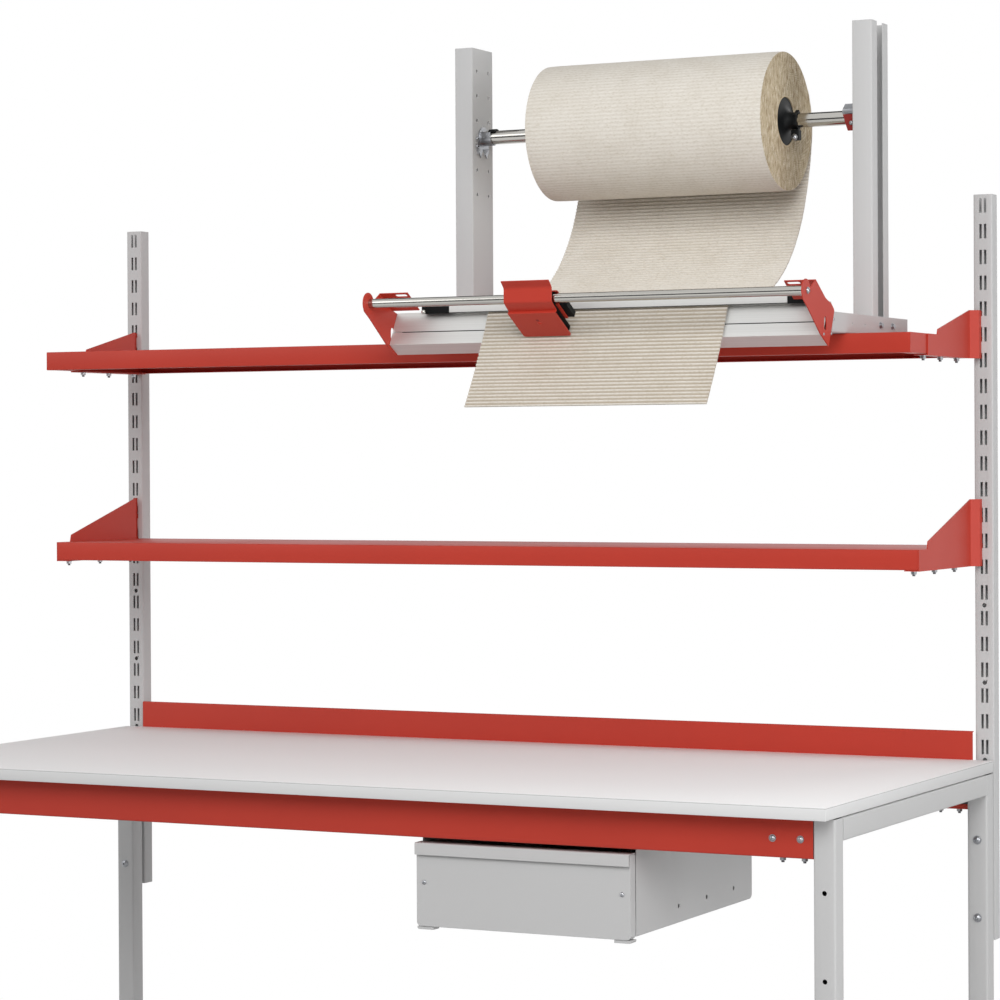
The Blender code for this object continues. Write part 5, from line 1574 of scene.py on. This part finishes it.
@dataclass
class Drawer:
    """The casing under the board, and the drawer that runs in it."""

    edge: float = 0.35 * MM
    corner: float = 8 * MM
    front_edge: float = 1.6 * MM
    hole_inset: float = 16 * MM
    hole_rise: float = 80 * MM
    return_width: float = 25 * MM
    return_wall: float = 1.5 * MM
    foot_width: float = 33 * MM
    foot_corner: float = 4 * MM
    foot_drop: float = 6 * MM
    foot_inset: float = 2.5 * MM
    foot_clearance: float = 0.5 * MM
    return_gap: float = 0.05 * MM

    def build(self) -> None:
        """Adds the rounded front, its screws, and the casing's bottom returns with their front ends."""
        low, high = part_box("drawer_front")
        width, height = high.x - low.x, high.z - low.z
        corners = [(0, 0), (width, 0), (width, height), (0, height)]
        outline = rounded(corners, (self.corner, self.corner, 1.5 * MM, 1.5 * MM), closed=True)
        form = Form()
        where = _placed(ACROSS, UP, -BACK, Vector((low.x, high.y, low.z)))
        form.plate([outline], high.y - low.y, self.front_edge, where)
        front = form.piece("drawer_front_folded", GREY_COAT, Body.DRAWER)
        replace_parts(front, "drawer_front")
        screws = Form()
        for x in (low.x + self.hole_inset, high.x - self.hole_inset):
            M5_SOCKET.add(screws, Vector((x, low.y, low.z + self.hole_rise)), -BACK)
        screws.piece("drawer_front_screws", ZINC, Body.DRAWER)
        case_low, case_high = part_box("drawer_casing")
        returns = Form()
        for _, side in SIDES:
            outer = case_high.x if side > 0 else case_low.x
            inner = outer - side * self.return_width
            bottom = case_low.z - self.return_wall
            start = Vector((min(inner, outer), case_low.y, bottom))
            end = Vector((max(inner, outer), case_high.y - self.corner, case_low.z - self.return_gap))
            returns.block(start, end, 0.4 * MM)
            self._add_foot(returns, Vector((outer, case_low.y, low.z)), side, case_low.y - low.y)
        returns.piece("drawer_casing_returns", GREY_COAT, Body.TABLE)

    def _add_foot(self, form: Form, corner: Vector, side: int, reach: float) -> None:
        """Adds the end of a casing return, which reaches forward under a corner of the drawer's front.

        Args:
            form: The form that gathers the returns.
            corner: The casing's outer front corner, level with the underside of the drawer's front.
            side: -1 on the left, 1 on the right.
            reach: From the casing to the face of the drawer's front.
        """
        height = self.foot_drop - self.foot_clearance
        corners = [(self.foot_width, 0), (0, 0), (0, height), (self.foot_width, height)]
        outline = rounded([(-side * u, v) for u, v in corners], (0, self.foot_corner, 0, 0), closed=True)
        where = _placed(ACROSS, UP, -BACK, corner - UP * self.foot_drop)
        form.plate([outline], reach - self.foot_inset, 0.4 * MM, where)

    def dress(self) -> None:
        """Gives the drawer's solids their finish."""
        dress(["drawer_casing", "drawer_box", "drawer_handle"], GREY_COAT, self.edge)
        runners = [f"runner_{part}_{side}" for part in ("outer", "inner") for side, _ in SIDES]
        dress(runners, ZINC, 0.2 * MM)


@dataclass
class Studio:
    """A pale floor, a white surround, soft lamps, two dark cloths, and the photo's camera."""

    camera_at: tuple[float, float, float] = (2.899349, -5.398137, 1.441245)
    heading: float = math.radians(26.6526)
    pitch: float = math.radians(-0.35247)
    roll: float = math.radians(0.29743)
    lens: float = 112.888
    shift: Point = (-0.017938, -0.023241)
    floor_radius: float = 30.0
    floor_gap: float = 0.2 * MM
    floor_colour: str = "#DCDCDC"
    bounce_colour: str = "#C4C4C4"
    fade_start: float = 1.15
    fade_end: float = 2.1
    surround: float = 0.46
    flag_colour: str = "#4C4C4C"
    lamps: tuple[tuple[tuple[float, float, float], tuple[float, float, float], float, float], ...] = field(
        default=(
            ((2.4, -4.6, 3.7), (0.1, 0.0, 1.3), 3.2, 160.0),
            ((-3.6, -3.4, 3.4), (0.0, 0.0, 1.3), 3.2, 60.0),
            ((1.0, 3.2, 4.2), (0.0, 0.2, 1.2), 3.0, 45.0),
            ((4.6, -1.2, 1.6), (0.6, 0.0, 1.2), 2.6, 60.0),
        )
    )
    flags: tuple[tuple[tuple[float, float, float], tuple[float, float, float]], ...] = (
        ((-5.0, 1.0, 5.2), (5.0, 6.0, 5.2)),
        ((-7.0, -8.5, 0.2), (7.0, -8.5, 3.4)),
    )

    def build(self) -> None:
        """Adds the floor, the world, the cloths, the lamps and the camera."""
        self._add_floor()
        self._add_world()
        self._add_flags()
        for at, target, size, power in self.lamps:
            self._add_lamp(Vector(at), Vector(target), size, power)
        self._add_camera()

    def _seen(self, tree: Tree) -> Socket:
        """A value of one for rays from the camera, from gloss and through glass."""
        path = add_node(tree, "ShaderNodeLightPath")
        rays = {0: path.outputs["Is Camera Ray"], 1: path.outputs["Is Glossy Ray"]}
        first = add_node(tree, "ShaderNodeMath", rays, operation="MAXIMUM")
        rays = {0: first.outputs[0], 1: path.outputs["Is Transmission Ray"]}
        return add_node(tree, "ShaderNodeMath", rays, operation="MAXIMUM").outputs[0]

    def _add_floor(self) -> None:
        """A round floor that keeps the table's shadow and fades to white away from it."""
        work = bmesh.new()
        bmesh.ops.create_circle(work, cap_ends=True, segments=96, radius=self.floor_radius)
        mesh = bpy.data.meshes.new("floor")
        work.to_mesh(mesh)
        work.free()
        material = bpy.data.materials.new("matt_studio_floor")
        tree = empty_tree(material)
        seen = self._seen(tree)
        tone = mix(tree, seen, linear(self.bounce_colour), linear(self.floor_colour))
        matt = add_node(tree, "ShaderNodeBsdfDiffuse", {"Color": tone})
        white = add_node(tree, "ShaderNodeEmission", {"Strength": 1.0})
        place = add_node(tree, "ShaderNodeTexCoord").outputs["Object"]
        away = add_node(tree, "ShaderNodeVectorMath", {0: place}, operation="LENGTH").outputs["Value"]
        fade = add_node(
            tree,
            "ShaderNodeMapRange",
            {"Value": away, "From Min": self.fade_start, "From Max": self.fade_end},
            interpolation_type="SMOOTHSTEP",
        ).outputs["Result"]
        share = add_node(tree, "ShaderNodeMath", {0: fade, 1: seen}, operation="MULTIPLY").outputs[0]
        inputs = {0: share, 1: matt.outputs[0], 2: white.outputs[0]}
        surface = add_node(tree, "ShaderNodeMixShader", inputs)
        add_node(tree, "ShaderNodeOutputMaterial", {"Surface": surface.outputs[0]})
        mesh.materials.append(material)
        floor = add_object("floor", mesh)
        floor.location.z = -self.floor_gap

    def _add_flags(self) -> None:
        """Adds dark cloths overhead and behind the camera, which put dark bands into the bright metal."""
        cloth = bpy.data.materials.new("black_flag_cloth")
        tree = empty_tree(cloth)
        matt = add_node(tree, "ShaderNodeBsdfDiffuse", {"Color": linear(self.flag_colour)})
        add_node(tree, "ShaderNodeOutputMaterial", {"Surface": matt.outputs[0]})
        for index, (low, high) in enumerate(self.flags):
            corners = [low, (high[0], low[1], low[2]), high, (low[0], high[1], high[2])]
            mesh = bpy.data.meshes.new("flag")
            mesh.from_pydata(corners, [], [(0, 1, 2, 3)])
            mesh.materials.append(cloth)
            flag = add_object(f"flag_{index}", mesh)
            flag.visible_camera = False

    def _add_world(self) -> None:
        """A surround that is white to look at and lights the table evenly."""
        world = bpy.data.worlds.new("studio_surround")
        tree = empty_tree(world)
        light = add_node(tree, "ShaderNodeBackground", {"Color": (1, 1, 1, 1), "Strength": self.surround})
        white = add_node(tree, "ShaderNodeBackground", {"Color": (1, 1, 1, 1), "Strength": 1.0})
        inputs = {0: self._seen(tree), 1: light.outputs[0], 2: white.outputs[0]}
        mixed = add_node(tree, "ShaderNodeMixShader", inputs)
        add_node(tree, "ShaderNodeOutputWorld", {"Surface": mixed.outputs[0]})
        bpy.context.scene.world = world

    def _add_lamp(self, at: Vector, target: Vector, size: float, power: float) -> None:
        """Adds one soft lamp.

        Args:
            at: Its place.
            target: What it points at.
            size: Its side.
            power: Its power in watts.
        """
        lamp = bpy.data.lights.new("softbox", "AREA")
        lamp.shape = "SQUARE"
        lamp.size = size
        lamp.energy = power
        obj = add_object("softbox", lamp)
        obj.location = at
        obj.rotation_euler = (target - at).to_track_quat("-Z", "Y").to_euler()

    def _add_camera(self) -> None:
        """Puts the camera where the photograph was taken from."""
        level = Vector((math.cos(self.heading), math.sin(self.heading), 0))
        ahead = Vector(
            (
                -math.sin(self.heading) * math.cos(self.pitch),
                math.cos(self.heading) * math.cos(self.pitch),
                math.sin(self.pitch),
            )
        )
        above = level.cross(ahead)
        right = level * math.cos(self.roll) - above * math.sin(self.roll)
        top = level * math.sin(self.roll) + above * math.cos(self.roll)
        lens = bpy.data.cameras.new("camera")
        lens.lens = self.lens
        lens.shift_x, lens.shift_y = self.shift
        camera = add_object("camera", lens)
        camera.matrix_world = _placed(right, top, -ahead, Vector(self.camera_at))
        bpy.context.scene.camera = camera


def main() -> None:
    """Builds and dresses the table, sets up the studio and writes both boxes."""
    logging.basicConfig(level=logging.INFO, format="%(message)s")
    bpy.context.scene.view_settings.view_transform = "Standard"
    kinds = (TableFrame, Shelving, RollHolder, PaperRoll, PaperWeb, Cutter, CuttingHead, Drawer)
    for kind in kinds:
        part = kind()
        part.build()
        part.dress()
        LOG.info("%s: %s", kind.__name__, kind.__doc__.splitlines()[0])
    Studio().build()
    LOG.info("Studio: floor, surround, lamps and camera")


if __name__ == "__main__":
    main()
